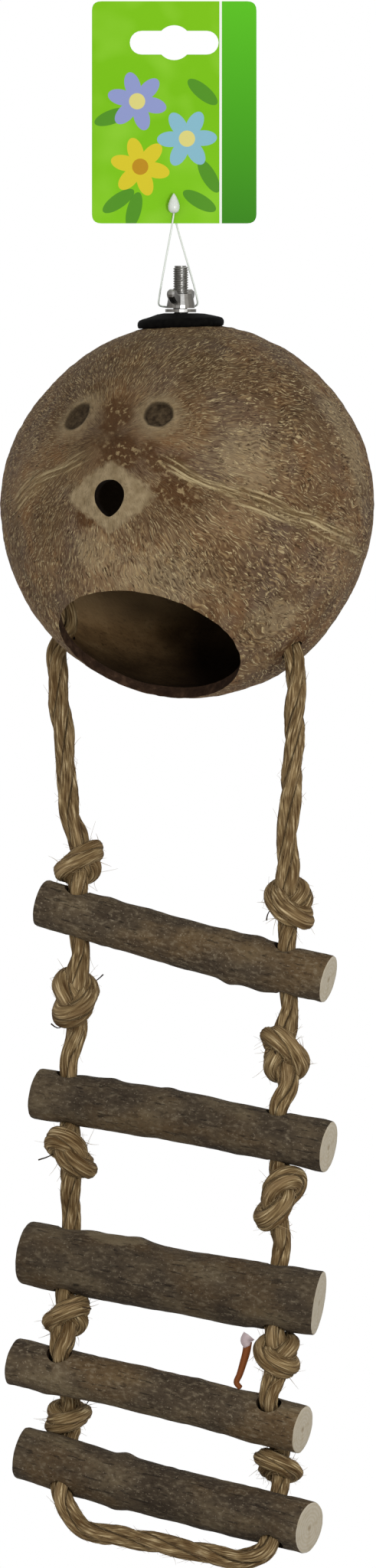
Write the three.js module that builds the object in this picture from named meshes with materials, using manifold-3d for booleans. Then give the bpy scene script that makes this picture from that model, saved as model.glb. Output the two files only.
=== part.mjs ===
// Coconut bird house: a hollow coconut that clamps to a cage by a bolt and wing nut, with a rope ladder of
// five branch rungs under it and a card tag on a clear thread above it.
// Millimetres, +Z up along the bolt. The origin is on the bolt's axis, on top of the rubber washer.
// X runs along the rungs, and the entrance and the coconut's three eyes face -Y.
import * as THREE from "three";
import { mergeVertices } from "three/addons/utils/BufferGeometryUtils.js";
import Module from "manifold-3d";

const GAP = 0.3; // left between pieces that touch

// coconut shell
const SHELL_R = 60; // half width
const SHELL_UP = 58; // middle to top
const SHELL_DOWN = 62.2; // middle to bottom
const SHELL_WALL = 3.3;
const SHELL_X = 2.1; // the bolt hole is drilled a little off the nut's axis
const SHELL_Y = 0.7;
const ENTRANCE_R = 30;
const ENTRANCE_TILT = 57; // degrees below the level
const ENTRANCE_TURN = 5; // degrees from the front to the left
const ROPE_HOLE = { left: [-42.6, -0.9], right: [38.6, -8] }; // x and y from the shell's middle
const ROPE_HOLE_DROP = 0.8; // how much steeper than square to the shell the rope holes are drilled
const EYE_LEFT = [-20.3, -48.3, 28.3]; // directions from the shell's middle to the eyes and the open pore
const EYE_RIGHT = [8.7, -51.2, 29];
const PORE = [-4.9, -59.7, 2.7];
const EYE_LEFT_R = 4.2;
const EYE_RIGHT_R = 4.5;
const EYE_DEPTH = 1.5;
const PORE_R = 5.2;
const PORE_WIDE = 1.02; // half width, as a share of the radius

// bolt, washers and wing nut
const BOLT_R = 2.45;
const BOLT_TOP = 15.2;
const THREAD_PITCH = 0.8;
const THREAD_DEPTH = 0.4;
const HEAD_R = 4.6;
const HEAD_H = 3.5;
const RUBBER_R = 13.9;
const RUBBER_T = 3;
const CLAMP_WASHER_R = 5;
const CLAMP_WASHER_T = 1;
const INNER_WASHER_R = 7.5;
const INNER_WASHER_T = 1.2;
const HUB_R = 4.5;
const HUB_H = 4.6;
const WING_SPAN = 10.6; // axis to wing tip
const WING_H = 6.1;
const WING_T = 2.5;
const WING_TURN = 91; // degrees from +X to the far wing

// rope, knots and rungs: left is -X, right is +X
const ROPE_D = 6.4;
const ROPE_PLAY = 0.8; // between rope and hole
const KNOT_SQUEEZE = 0.79; // a tight knot flattens the rope to this share
const KNOT_BEND = [1, 0.98, 1.02, 1, 1.04]; // width of each knot down the rope, as a share
const KNOT_TAIL = 0.4; // rope that stands out of a knot at each end
const ROPE_SWAY = { left: -3, right: 0 }; // how far the rope comes down beside its first knot's top
const LADDER_Y = -7.3;
const HOLE_SPACING = 71.5;
const RUNG_END = 14.75; // mean length of a rung beyond its hole
const RUNG_D = [15, 16.2, 21, 15.6, 17.2];
const RUNG_X = [4.2, 3.4, 0.1, -5, -2.4];
const LADDER_TOP = 201.6; // from the origin down to the first rung
const RUNG_DOWN = [0, 57.5, 107.9, 145.8, 176.1]; // from the first rung down to each
const RUNG_SLOPE = [14, 9.8, 9.25, 12.4, 13.9]; // degrees, right end low
const RUNG_ROLL = [6, 4, -13, 36, -26]; // degrees, how far the drilled holes lean to the front at the top
const LEFT_HOLE_X = [-32.4, -35.3, -35.8, -37.1, -36.6];
const KNOT_H = { left: [14, 19, 16, 12.5, 10.6], right: [16.4, 18.2, 20, 14.6, 10.8] };
const KNOT_GAP = { left: [1.3, 10, 1.2, 1.6, 1.2], right: [5, 11, 1.4, 1.2, 1.2] };
const KNOT_Y = [0, 0, 0.5, -3.4, 6]; // off the ladder's plane
const LOOP_SAG = 13.5; // bottom loop under the last rung

// card tag and its thread
const TAG_W = 52.8;
const TAG_H = 71.3;
const TAG_T = 0.5;
const TAG_BOTTOM = 28.8;
const TAG_X = -2.1;
const TAG_TURN = 20; // degrees about the bolt
const TAG_CORNER = 3;
const SLOT_W = 28.5;
const SLOT_H = 7.6;
const SLOT_MIDDLE_R = 5.6; // the slot is rounder and higher in the middle
const SLOT_DOWN = 13.3; // from the card's top to the slot's middle
const STRING_HOLE_R = 1.8;
const STRING_HOLE_UP = 5.6; // above the card's bottom edge
const STRING_D = 0.6;

const wasm = await Module();
wasm.setup();
const rad = THREE.MathUtils.degToRad;
const V = (x, y, z) => new THREE.Vector3(x, y, z);

// A three.js geometry as a solid to join or cut, and back.
function solid(geometry) {
  const bare = new THREE.BufferGeometry();
  bare.setAttribute("position", geometry.getAttribute("position"));
  if (geometry.index) bare.setIndex(geometry.index);
  const merged = mergeVertices(bare, 1e-4);
  return new wasm.Manifold(
    new wasm.Mesh({
      numProp: 3,
      vertProperties: new Float32Array(merged.attributes.position.array),
      triVerts: new Uint32Array(merged.index.array),
    }),
  );
}
function geometry(body) {
  const mesh = body.getMesh();
  const made = new THREE.BufferGeometry();
  made.setAttribute("position", new THREE.BufferAttribute(new Float32Array(mesh.vertProperties), 3));
  made.setIndex(new THREE.BufferAttribute(new Uint32Array(mesh.triVerts), 1));
  made.computeVertexNormals();
  return made;
}

// A cylinder of the given radius from one point to another.
function rod(r, from, to, sides) {
  const along = to.clone().sub(from);
  const made = new THREE.CylinderGeometry(r, r, along.length(), sides);
  made.applyQuaternion(new THREE.Quaternion().setFromUnitVectors(V(0, 1, 0), along.clone().normalize()));
  const mid = from.clone().add(to).multiplyScalar(0.5);
  return made.translate(mid.x, mid.y, mid.z);
}

// A round bar swept along a curve.
function sweep(curve, d, sides, steps) {
  const round = new THREE.Shape();
  for (let k = 0; k < sides; k++) {
    const a = (2 * Math.PI * k) / sides;
    if (k === 0) round.moveTo((d / 2) * Math.cos(a), (d / 2) * Math.sin(a));
    else round.lineTo((d / 2) * Math.cos(a), (d / 2) * Math.sin(a));
  }
  return new THREE.ExtrudeGeometry(round, { steps, bevelEnabled: false, extrudePath: curve });
}
const through = (points) => new THREE.CatmullRomCurve3(points, false, "centripetal");

// A ring whose section is the closed outline of (radius, height) points, turned about Z.
function ring(outline, sides) {
  const closed = [...outline, outline[0]].map(([r, z]) => new THREE.Vector2(r, z));
  return new THREE.LatheGeometry(closed, sides).rotateX(Math.PI / 2);
}

const group = new THREE.Group();
group.name = "coconut_bird_house";
function add(name, made, colour, rough = 0.8, metal = 0) {
  const material = new THREE.MeshStandardMaterial({ color: colour, roughness: rough, metalness: metal });
  const mesh = new THREE.Mesh(made, material);
  mesh.name = name;
  group.add(mesh);
}

// Coconut shell: an egg-like round with a hollow, an entrance, a pore, two blind eyes and drilled holes.
const middle = V(SHELL_X, SHELL_Y, -RUBBER_T - GAP - SHELL_UP);
function egg(r, up, down, columns, rows) {
  const ball = new THREE.SphereGeometry(1, columns, rows).rotateX(Math.PI / 2);
  const p = ball.getAttribute("position");
  for (let i = 0; i < p.count; i++) {
    const z = p.getZ(i);
    p.setXYZ(i, p.getX(i) * r, p.getY(i) * r, z * (z > 0 ? up : down));
  }
  return ball.translate(middle.x, middle.y, middle.z);
}
// the point on the shell's outside straight out from the middle, and the height of the shell over (x, y)
function onShell(direction) {
  const d = direction.clone().normalize();
  const h = d.z > 0 ? SHELL_UP : SHELL_DOWN;
  return d.multiplyScalar(1 / Math.hypot(d.x / SHELL_R, d.y / SHELL_R, d.z / h));
}
const under = (x, y) => -SHELL_DOWN * Math.sqrt(1 - (x * x + y * y) / SHELL_R ** 2);

const entrance = V(0, -Math.cos(rad(ENTRANCE_TILT)), -Math.sin(rad(ENTRANCE_TILT)));
entrance.applyAxisAngle(V(0, 0, 1), -rad(ENTRANCE_TURN));
const eyeLeft = onShell(V(...EYE_LEFT));
const eyeRight = onShell(V(...EYE_RIGHT));
const pore = onShell(V(...PORE));
const ropeHole = {
  left: V(...ROPE_HOLE.left, under(...ROPE_HOLE.left)),
  right: V(...ROPE_HOLE.right, under(...ROPE_HOLE.right)),
};
const steep = (at) => at.clone().normalize().add(V(0, 0, -ROPE_HOLE_DROP)).normalize();
const ropeOut = { left: steep(ropeHole.left), right: steep(ropeHole.right) };
const ropeHoleR = ROPE_D / 2 + 0.55;

// a drill through the wall at a point of the shell, from depth in to clear outside
function drill(at, r, depth, sides, out = at.clone().normalize()) {
  const from = at.clone().addScaledVector(out, -depth).add(middle);
  return solid(rod(r, from, at.clone().addScaledVector(out, 9).add(middle), sides));
}
// the open eye: round at the top and drawn to a point at the bottom
function teardrop(at, r) {
  const drop = new THREE.Shape();
  for (let k = 0; k < 16; k++) {
    const a = (2 * Math.PI * k) / 16;
    const point = 1 + 0.28 * Math.max(0, -Math.sin(a)) ** 3;
    const x = r * PORE_WIDE * Math.cos(a);
    if (k === 0) drop.moveTo(x, r * Math.sin(a) * point);
    else drop.lineTo(x, r * Math.sin(a) * point);
  }
  const cut = new THREE.ExtrudeGeometry(drop, { depth: 24, bevelEnabled: false }).translate(0, 0, -12);
  const out = at.clone().normalize();
  const side = V(0, 0, 1).cross(out).normalize();
  const turn = new THREE.Matrix4().makeBasis(side, out.clone().cross(side), out);
  cut.applyMatrix4(turn.setPosition(at.clone().add(middle)));
  return solid(cut);
}
let shell = solid(egg(SHELL_R, SHELL_UP, SHELL_DOWN, 36, 22));
const hollow = [SHELL_R, SHELL_UP, SHELL_DOWN].map((r) => r - SHELL_WALL);
shell = shell.subtract(solid(egg(...hollow, 24, 14)));
const mouth = [SHELL_R / 3, SHELL_R * 1.5].map((far) => entrance.clone().multiplyScalar(far).add(middle));
shell = shell.subtract(solid(rod(ENTRANCE_R, ...mouth, 36)));
shell = shell.subtract(drill(eyeLeft, EYE_LEFT_R, EYE_DEPTH, 16));
shell = shell.subtract(drill(eyeRight, EYE_RIGHT_R, EYE_DEPTH, 16));
shell = shell.subtract(teardrop(pore, PORE_R));
shell = shell.subtract(drill(ropeHole.left, ropeHoleR, SHELL_WALL * 2.2, 14, ropeOut.left));
shell = shell.subtract(drill(ropeHole.right, ropeHoleR, SHELL_WALL * 2.2, 14, ropeOut.right));
shell = shell.subtract(solid(rod(BOLT_R + 0.6, V(0, 0, -20), V(0, 0, 20), 16)));
add("coconut_shell", geometry(shell), 0x6b5a42, 0.9);

// Bolt: hex head inside the shell, thread up through the washers.
const shellTop = -RUBBER_T - GAP; // height of the shell's top
const ropeOff = BOLT_R + ROPE_D / 2 + 0.5; // the rope inside passes the bolt this far off its axis
const ropeTop = shellTop - SHELL_WALL - (ropeOff + ROPE_D / 2) ** 2 / SHELL_UP - ROPE_D / 2 - GAP;
const innerTop = ropeTop - ROPE_D / 2 - GAP;
const headTop = innerTop - INNER_WASHER_T - GAP;
function threadedRod(r, from, to) {
  const columns = 9;
  const rows = Math.round(((to - from) / THREAD_PITCH) * 3);
  const positions = [];
  const faces = [];
  for (let j = 0; j <= rows; j++) {
    const z = from + ((to - from) * j) / rows;
    const tip = Math.min(1, (to - z) / THREAD_PITCH);
    for (let i = 0; i < columns; i++) {
      const turn = i / columns;
      const phase = (((z - from) / THREAD_PITCH - turn) % 1 + 1) % 1;
      const groove = THREAD_DEPTH * Math.abs(2 * phase - 1);
      const here = (r - groove) * (0.8 + 0.2 * tip);
      positions.push(here * Math.cos(2 * Math.PI * turn), here * Math.sin(2 * Math.PI * turn), z);
    }
  }
  const bottom = positions.length / 3;
  positions.push(0, 0, from, 0, 0, to);
  for (let i = 0; i < columns; i++) {
    const n = (i + 1) % columns;
    faces.push(bottom, n, i, bottom + 1, rows * columns + i, rows * columns + n);
    for (let j = 0; j < rows; j++) {
      const a = j * columns + i;
      const b = j * columns + n;
      faces.push(a, b, b + columns, a, b + columns, a + columns);
    }
  }
  const made = new THREE.BufferGeometry();
  made.setAttribute("position", new THREE.Float32BufferAttribute(positions, 3));
  return made.setIndex(faces);
}
const shank = solid(rod(BOLT_R, V(0, 0, headTop - 1), V(0, 0, -0.5), 14));
const head = solid(rod(HEAD_R, V(0, 0, headTop - HEAD_H), V(0, 0, headTop), 6));
const bolt = solid(threadedRod(BOLT_R, -1, BOLT_TOP)).add(shank).add(head);
add("hanger_bolt", geometry(bolt), 0xb9bcc0, 0.3, 1);

const innerHole = BOLT_R + GAP;
add(
  "inner_washer",
  ring(
    [
      [innerHole, innerTop],
      [innerHole, innerTop - INNER_WASHER_T],
      [INNER_WASHER_R, innerTop - INNER_WASHER_T],
      [INNER_WASHER_R, innerTop],
    ],
    20,
  ),
  0xb0b2b5,
  0.35,
  1,
);

// Rubber washer: flat under the metal, drooping at the rim, hollow underneath to sit on the shell.
const off = Math.hypot(SHELL_X, SHELL_Y);
const seat = (r) => middle.z + SHELL_UP * Math.sqrt(1 - (Math.max(0, r - off) / SHELL_R) ** 2) + GAP;
add(
  "rubber_washer",
  ring(
    [
      [innerHole, 0],
      [innerHole, seat(innerHole)],
      [RUBBER_R * 0.5, seat(RUBBER_R * 0.5)],
      [RUBBER_R * 0.98, seat(RUBBER_R * 0.98)],
      [RUBBER_R, seat(RUBBER_R) + RUBBER_T * 0.35],
      [RUBBER_R * 0.97, seat(RUBBER_R) + RUBBER_T * 0.8],
      [RUBBER_R * 0.6, 0],
    ],
    32,
  ),
  0x161616,
  0.6,
);
add(
  "clamp_washer",
  ring(
    [
      [innerHole, GAP + CLAMP_WASHER_T],
      [innerHole, GAP],
      [CLAMP_WASHER_R, GAP],
      [CLAMP_WASHER_R, GAP + CLAMP_WASHER_T],
    ],
    24,
  ),
  0xc6c8cb,
  0.3,
  1,
);

// Wing nut: a hub with two rounded ears.
const nutBase = CLAMP_WASHER_T + 2 * GAP;
const boreR = BOLT_R + 0.35;
let nut = solid(
  ring(
    [
      [boreR, 0],
      [HUB_R, 0],
      [HUB_R, HUB_H * 0.2],
      [HUB_R * 0.84, HUB_H],
      [boreR, HUB_H],
    ],
    20,
  ),
);
const ear = new THREE.Shape();
const earRoot = boreR + 0.4;
ear.moveTo(earRoot, HUB_H * 0.2);
ear.lineTo(WING_SPAN * 0.66, HUB_H * 0.34);
ear.quadraticCurveTo(WING_SPAN * 0.96, WING_H * 0.42, WING_SPAN, WING_H * 0.72);
ear.quadraticCurveTo(WING_SPAN * 0.98, WING_H, WING_SPAN * 0.82, WING_H);
ear.quadraticCurveTo(WING_SPAN * 0.66, WING_H, WING_SPAN * 0.5, HUB_H * 0.94);
ear.lineTo(earRoot, HUB_H * 0.86);
for (const turn of [0, Math.PI]) {
  const flat = new THREE.ExtrudeGeometry(ear, {
    depth: WING_T * 0.5,
    curveSegments: 4,
    bevelSize: WING_T * 0.2,
    bevelThickness: WING_T * 0.25,
    bevelOffset: -WING_T * 0.2,
    bevelSegments: 1,
  });
  flat.translate(0, 0, -WING_T * 0.25).rotateX(Math.PI / 2).rotateZ(turn);
  nut = nut.add(solid(flat));
}
add("wing_nut", geometry(nut).rotateZ(rad(WING_TURN)).translate(0, 0, nutBase), 0xb4b6b9, 0.35, 1);

// Rungs: branch lengths with a bow, a taper and a swelling, each drilled twice for the rope.
const swelling = [
  { at: 0.72, side: -1.4, high: 0.14 },
  { at: 0.95, side: 0.6, high: 0.06 },
  { at: 0.33, side: 1.3, high: 0.09 },
  { at: 0.86, side: -1.2, high: 0.08 },
  { at: 0.2, side: -1.5, high: 0.05 },
];
const RUNG_L = HOLE_SPACING + 2 * RUNG_END;
const RUNG_Z = RUNG_DOWN.map((down) => -LADDER_TOP - down);
const slope = RUNG_SLOPE.map((a) => Math.tan(rad(a)));
const rungAxis = (i, x) => V(x, LADDER_Y, RUNG_Z[i] - (x - RUNG_X[i]) * slope[i]);
const lean = RUNG_ROLL.map((a) => V(0, -Math.sin(rad(a)), Math.cos(rad(a))));
// how far the rope runs inside a rung on each side of its axis
const inside = RUNG_D.map((d, i) => d / 2 / Math.cos(rad(RUNG_SLOPE[i])));
const holeR = ROPE_D / 2 + ROPE_PLAY;
const holeX = (i, side) => LEFT_HOLE_X[i] + (side === "right" ? HOLE_SPACING : 0);
const bark = [0x57503f, 0x4d473c, 0x5a5244, 0x4a443a, 0x565044];
RUNG_D.forEach((d, i) => {
  const bar = new THREE.CylinderGeometry(d / 2, d / 2, RUNG_L, 14, 8).rotateZ(-Math.PI / 2);
  const p = bar.getAttribute("position");
  const { at, side, high } = swelling[i];
  for (let k = 0; k < p.count; k++) {
    const u = p.getX(k) / RUNG_L + 0.5;
    const angle = Math.atan2(p.getZ(k), p.getY(k));
    const near = Math.exp(-(((u - at) / 0.13) ** 2)) * Math.max(0, Math.cos(angle - side));
    const grow = 1 + high * near - 0.02 * Math.cos(2 * angle + i);
    const bow = d * 0.05 * Math.cos(Math.PI * (u - 0.5)) * (i % 2 ? 1 : -1);
    p.setXYZ(k, p.getX(k), p.getY(k) * grow, p.getZ(k) * grow + bow);
  }
  bar.rotateY(rad(RUNG_SLOPE[i]));
  bar.translate(RUNG_X[i], LADDER_Y, RUNG_Z[i]);
  let rung = solid(bar);
  for (const hand of ["left", "right"]) {
    const c = rungAxis(i, holeX(i, hand));
    const far = d + 6;
    const from = c.clone().addScaledVector(lean[i], -far);
    rung = rung.subtract(solid(rod(holeR, from, c.clone().addScaledVector(lean[i], far), 12)));
  }
  add("rung_" + (i + 1), geometry(rung), bark[i], 0.9);
});

// An overhand knot, tied loose as two strands that wind round each other plus an outer arc, then pulled
// tight: the line is smoothed, which shortens it, and strands closer than the rope is thick push apart.
function overhand(d) {
  const count = 72;
  const rounds = 500;
  const reach = 1.75 * d;
  const apart = 1.14 * d;
  const loose = [V(0, 0, 2.8 * d), V(0, 0, 2.3 * d)];
  const wind = (start) => {
    for (let k = 0; k <= 24; k++) {
      const a = start + (3 * Math.PI * k) / 24;
      loose.push(V(0.8 * d * Math.cos(a), 0.8 * d * Math.sin(a), 1.9 * d * (1 - k / 12)));
    }
  };
  wind(0);
  for (let k = 1; k < 16; k++) {
    const a = Math.PI * (k / 16 - 0.5);
    loose.push(V(-0.8 * d - 2.6 * d * Math.cos(a), 0, 2.6 * d * Math.sin(a)));
  }
  wind(Math.PI);
  loose.push(V(0, 0, -2.3 * d), V(0, 0, -2.8 * d));
  let line = through(loose).getSpacedPoints(count);
  const step = V(0, 0, 0);
  for (let round = 0; round < rounds; round++) {
    const end = reach + d * Math.max(0, 1 - round / (0.3 * rounds));
    line[0].set(0, 0, end);
    line[1].set(0, 0, end - 0.02 * d);
    line[count].set(0, 0, -end);
    const before = line.map((p) => p.clone());
    let length = 0;
    for (let i = 1; i < count; i++) {
      step.addVectors(before[i - 1], before[i + 1]).multiplyScalar(0.5).sub(before[i]);
      line[i].addScaledVector(step, 0.5);
      length += before[i].distanceTo(before[i - 1]);
    }
    const skip = Math.ceil((1.7 * d * count) / length);
    for (let pass = 0; pass < 3; pass++) {
      for (let i = 0; i <= count; i++) {
        for (let j = i + skip; j <= count; j++) {
          step.subVectors(line[j], line[i]);
          const near = step.length();
          if (near < apart) {
            step.multiplyScalar((apart - near) / (2 * near));
            line[j].add(step);
            line[i].sub(step);
          }
        }
      }
    }
    const sum = [0];
    for (let i = 0; i < count; i++) sum.push(sum[i] + line[i].distanceTo(line[i + 1]));
    const even = [line[0].clone()];
    for (let i = 1, k = 0; i < count; i++) {
      const s = (sum[count] * i) / count;
      while (sum[k + 1] < s) k++;
      even.push(line[k].clone().lerp(line[k + 1], (s - sum[k]) / (sum[k + 1] - sum[k])));
    }
    even.push(line[count].clone());
    line = even;
  }
  return line;
}
const knotD = ROPE_D * KNOT_SQUEEZE;
const tight = overhand(knotD);
const crest = Math.max(...tight.slice(8, -8).map((p) => Math.abs(p.z)));
// the knot's solid about its own middle: its height, its turn about its axis and its width are given
function knotted(height, turn, wide, mirror, extra = 0) {
  const thick = knotD * Math.min(0.94, 0.5 + (0.44 * height) / (3.3 * knotD));
  const k = (height - thick) / 2 / crest;
  const line = tight.map((p) => V(p.x * wide * mirror, p.y * wide, p.z * k));
  line.forEach((p) => p.applyAxisAngle(V(0, 0, 1), turn));
  line[0].z = height / 2 + KNOT_TAIL + extra;
  line[line.length - 1].z = -line[0].z;
  return sweep(through(line), thick + 2 * extra, 8, 24);
}
// a rope's solid, cut back to leave the gap to the knots it runs into
function clearOf(made, ...near) {
  let rope = solid(made);
  for (const knot of near) rope = rope.subtract(solid(knot));
  return geometry(rope.decompose().sort((a, b) => b.volume() - a.volume())[0]);
}

// Where the knots sit: the first above the top rung, each other one under the rung it holds up.
const tan = 0x8c7450;
const knots = { left: [], right: [] };
for (const hand of ["left", "right"]) {
  for (let k = 0; k < 5; k++) {
    const i = Math.max(0, k - 1);
    const c = rungAxis(i, holeX(i, hand));
    const up = k === 0 ? 1 : -1;
    const r = RUNG_D[i] / 2;
    const edge = Math.sqrt(r * r - (KNOT_Y[k] / 2) ** 2) / Math.cos(rad(RUNG_SLOPE[i]));
    const h = KNOT_H[hand][k];
    const at = c.clone().add(V(0, KNOT_Y[k], up * (edge + KNOT_GAP[hand][k] + h / 2)));
    const out = V(0, 0, h / 2 + KNOT_TAIL + GAP);
    const turn = rad(70 + 115 * k + (hand === "left" ? 0 : 160));
    const mirror = hand === "left" ? 1 : -1;
    const place = (extra) => knotted(h, turn, KNOT_BEND[k], mirror, extra).translate(at.x, at.y, at.z);
    knots[hand].push({ top: at.clone().add(out), bottom: at.clone().sub(out), wide: place(GAP) });
    add(hand + "_knot_" + (k + 1), place(0), tan, 0.95);
  }
}

// A stretch of rope from above a rung to under it: it follows the drilled hole as far as there's room.
function drilled(i, c, start, end) {
  const enter = Math.min(inside[i], start.z - c.z - 1);
  const exit = Math.min(inside[i], c.z - end.z - 1);
  return [
    start,
    c.clone().addScaledVector(lean[i], enter),
    c.clone(),
    c.clone().addScaledVector(lean[i], -exit),
    end,
  ];
}

// The rope inside the shell: up from one hole, round behind the bolt above its washer, down to the other.
function inward(hand) {
  const out = ropeOut[hand];
  const hole = ropeHole[hand].clone().add(middle);
  const side = Math.sign(out.x);
  const rise = ropeTop - hole.z;
  const wayUp = (u, x, y) => V(SHELL_X + side * SHELL_R * x, SHELL_Y + SHELL_R * y, hole.z + rise * u);
  const [beside, across] = ROPE_HOLE[hand].map((v) => v / SHELL_R);
  return [
    hole.clone().addScaledVector(out, -SHELL_WALL / 2),
    hole.clone().addScaledVector(out, -SHELL_WALL - ROPE_D * 0.46),
    wayUp(0.24, Math.abs(beside) + 0.04, across - 0.05),
    wayUp(0.5, Math.abs(beside) - 0.02, across / 2),
    wayUp(0.77, 0.45, 0),
    V(side * (INNER_WASHER_R + ROPE_D), ropeOff * 0.9, ropeTop - ROPE_D * 0.45),
    V(side * ROPE_D * 0.8, ropeOff, ropeTop),
  ];
}
const overBolt = [...inward("left"), V(0, ropeOff, ropeTop), ...inward("right").reverse()];
add("inner_rope", sweep(through(overBolt), ROPE_D, 8, 44), tan, 0.95);

// The rope outside: out through the holes, then from knot to knot through the rungs.
for (const hand of ["left", "right"]) {
  const out = ropeOut[hand];
  const hole = ropeHole[hand].clone().add(middle);
  const first = knots[hand][0];
  const leave = hole.clone().addScaledVector(out, ROPE_D * 0.62);
  const drop = first.top.z - leave.z;
  const line = [
    hole.clone().addScaledVector(out, GAP - SHELL_WALL / 2),
    hole.clone(),
    leave,
    V(leave.x, leave.y, leave.z - ROPE_D),
    V(leave.x * 0.6 + first.top.x * 0.4, (leave.y + first.top.y) / 2, leave.z + drop * 0.5),
    V(first.top.x + ROPE_SWAY[hand], first.top.y, leave.z + drop * 0.85),
    first.top,
  ];
  const upper = sweep(through(line), ROPE_D, 8, 20);
  add(hand + "_rope_1", clearOf(upper, first.wide), tan, 0.95);

  for (let i = 0; i < 4; i++) {
    const c = rungAxis(i, holeX(i, hand));
    const above = knots[hand][i];
    const below = knots[hand][i + 1];
    const stretch = sweep(through(drilled(i, c, above.bottom, below.top)), ROPE_D, 8, 8);
    add(hand + "_rope_" + (i + 2), clearOf(stretch, above.wide, below.wide), tan, 0.95);
  }
}

// The rope's bottom: through the last rung, across under it and up through its other hole.
const last = RUNG_D.length - 1;
const cl = rungAxis(last, holeX(last, "left"));
const cr = rungAxis(last, holeX(last, "right"));
const kl = knots.left[last];
const kr = knots.right[last];
const downLeft = cl.clone().addScaledVector(lean[last], -inside[last]);
const downRight = cr.clone().addScaledVector(lean[last], -inside[last]);
const low = downRight.z - ROPE_D / 2 - GAP;
const front = downRight.y - 0.6;
const run = (u, sag) => V(cl.x + (cr.x - cl.x) * u, front, cl.z + (low - cl.z) * u - sag);
const bottom = through([
  kl.bottom,
  cl.clone().addScaledVector(lean[last], Math.min(inside[last], kl.bottom.z - cl.z) - 1),
  cl.clone(),
  downLeft,
  downLeft.clone().add(V(1.4, -0.8, -ROPE_D * 0.9)),
  run(0.12, LOOP_SAG * 1.3),
  run(0.36, LOOP_SAG),
  run(0.62, LOOP_SAG * 0.7),
  V(cr.x - ROPE_D * 2.2, front, low - 0.9),
  V(cr.x - ROPE_D * 0.85, front - 0.4, low - 0.5),
  V(cr.x - ROPE_D * 0.2, front - 0.2, low + ROPE_D * 0.2),
  downRight.clone().addScaledVector(lean[last], 0.9),
  cr.clone(),
  cr.clone().addScaledVector(lean[last], Math.min(inside[last], kr.bottom.z - cr.z) - 1),
  kr.bottom,
]);
add("bottom_loop", clearOf(sweep(bottom, ROPE_D, 8, 56), kl.wide, kr.wide), tan, 0.95);

// Card tag with a peg slot, and the thread it hangs on, looped round the nut's hub under the far ear.
const card = new THREE.Shape();
const w = TAG_W / 2;
const c0 = TAG_CORNER;
card.moveTo(-w + c0, 0);
card.lineTo(w - c0, 0);
card.quadraticCurveTo(w, 0, w, c0);
card.lineTo(w, TAG_H - c0);
card.quadraticCurveTo(w, TAG_H, w - c0, TAG_H);
card.lineTo(-w + c0, TAG_H);
card.quadraticCurveTo(-w, TAG_H, -w, TAG_H - c0);
card.lineTo(-w, c0);
card.quadraticCurveTo(-w, 0, -w + c0, 0);
const slot = new THREE.Path();
const slotZ = TAG_H - SLOT_DOWN;
const slotEnd = (SLOT_W - SLOT_H) / 2;
const bulge = Math.asin(SLOT_H / 2 / SLOT_MIDDLE_R);
slot.absarc(slotEnd, slotZ, SLOT_H / 2, -Math.PI / 2, Math.PI / 2);
slot.absarc(0, slotZ, SLOT_MIDDLE_R, bulge, Math.PI - bulge);
slot.absarc(-slotEnd, slotZ, SLOT_H / 2, Math.PI / 2, 1.5 * Math.PI);
slot.absarc(0, slotZ, SLOT_MIDDLE_R, Math.PI + bulge, 2 * Math.PI - bulge);
slot.closePath();
const eyelet = new THREE.Path().absarc(0, STRING_HOLE_UP, STRING_HOLE_R, 0, 2 * Math.PI, true);
card.holes.push(slot, eyelet);
const board = new THREE.ExtrudeGeometry(card, { depth: TAG_T, bevelEnabled: false, curveSegments: 5 });
board.translate(TAG_X, TAG_BOTTOM, -TAG_T / 2).rotateX(Math.PI / 2).rotateZ(rad(TAG_TURN));
add("hang_tag", board, 0x8cc63e, 0.5);

const s = STRING_D / 2;
const hang = TAG_BOTTOM + STRING_HOLE_UP - STRING_HOLE_R + 2 * GAP + s;
const clear = TAG_T / 2 + GAP + s;
const round = HUB_R + GAP + STRING_D;
const lie = nutBase + s + 0.1;
const thread = [
  V(0.4, round, lie),
  V(round * 0.62, round * 0.82, lie),
  V(round * 0.98, round * 0.45, lie + 0.8),
  V(round * 0.96, round * 0.35, lie + 3),
  V(TAG_X + 0.5, clear, hang - 4),
  V(TAG_X, clear * 0.94, hang - 0.35),
  V(TAG_X, 0, hang + 0.1),
  V(TAG_X, -clear * 0.94, hang - 0.35),
  V(TAG_X - 0.5, -clear, hang - 4),
  V(-round * 1.28, -0.6, lie + 3),
  V(-round * 1.3, 0.2, lie + 0.8),
  V(-round * 0.85, round * 0.75, lie),
  V(-0.4, round, lie),
].map((p) => p.applyAxisAngle(V(0, 0, 1), rad(TAG_TURN)));
add("tag_thread", sweep(through(thread), STRING_D, 8, 56), 0xe8ecec, 0.15);

export default group;
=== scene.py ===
# %% [markdown]
# # Coconut bird house
# A hollow coconut hangs from a bolt that clamps it to a cage. A rope ladder of branch rungs hangs under
# it, and a card tag stands on a clear thread above it. The CAD part gives every place and size. This
# script gives the looks: fibrous shell, laid rope with tied knots, bark, steel and printed card.

import math

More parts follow.
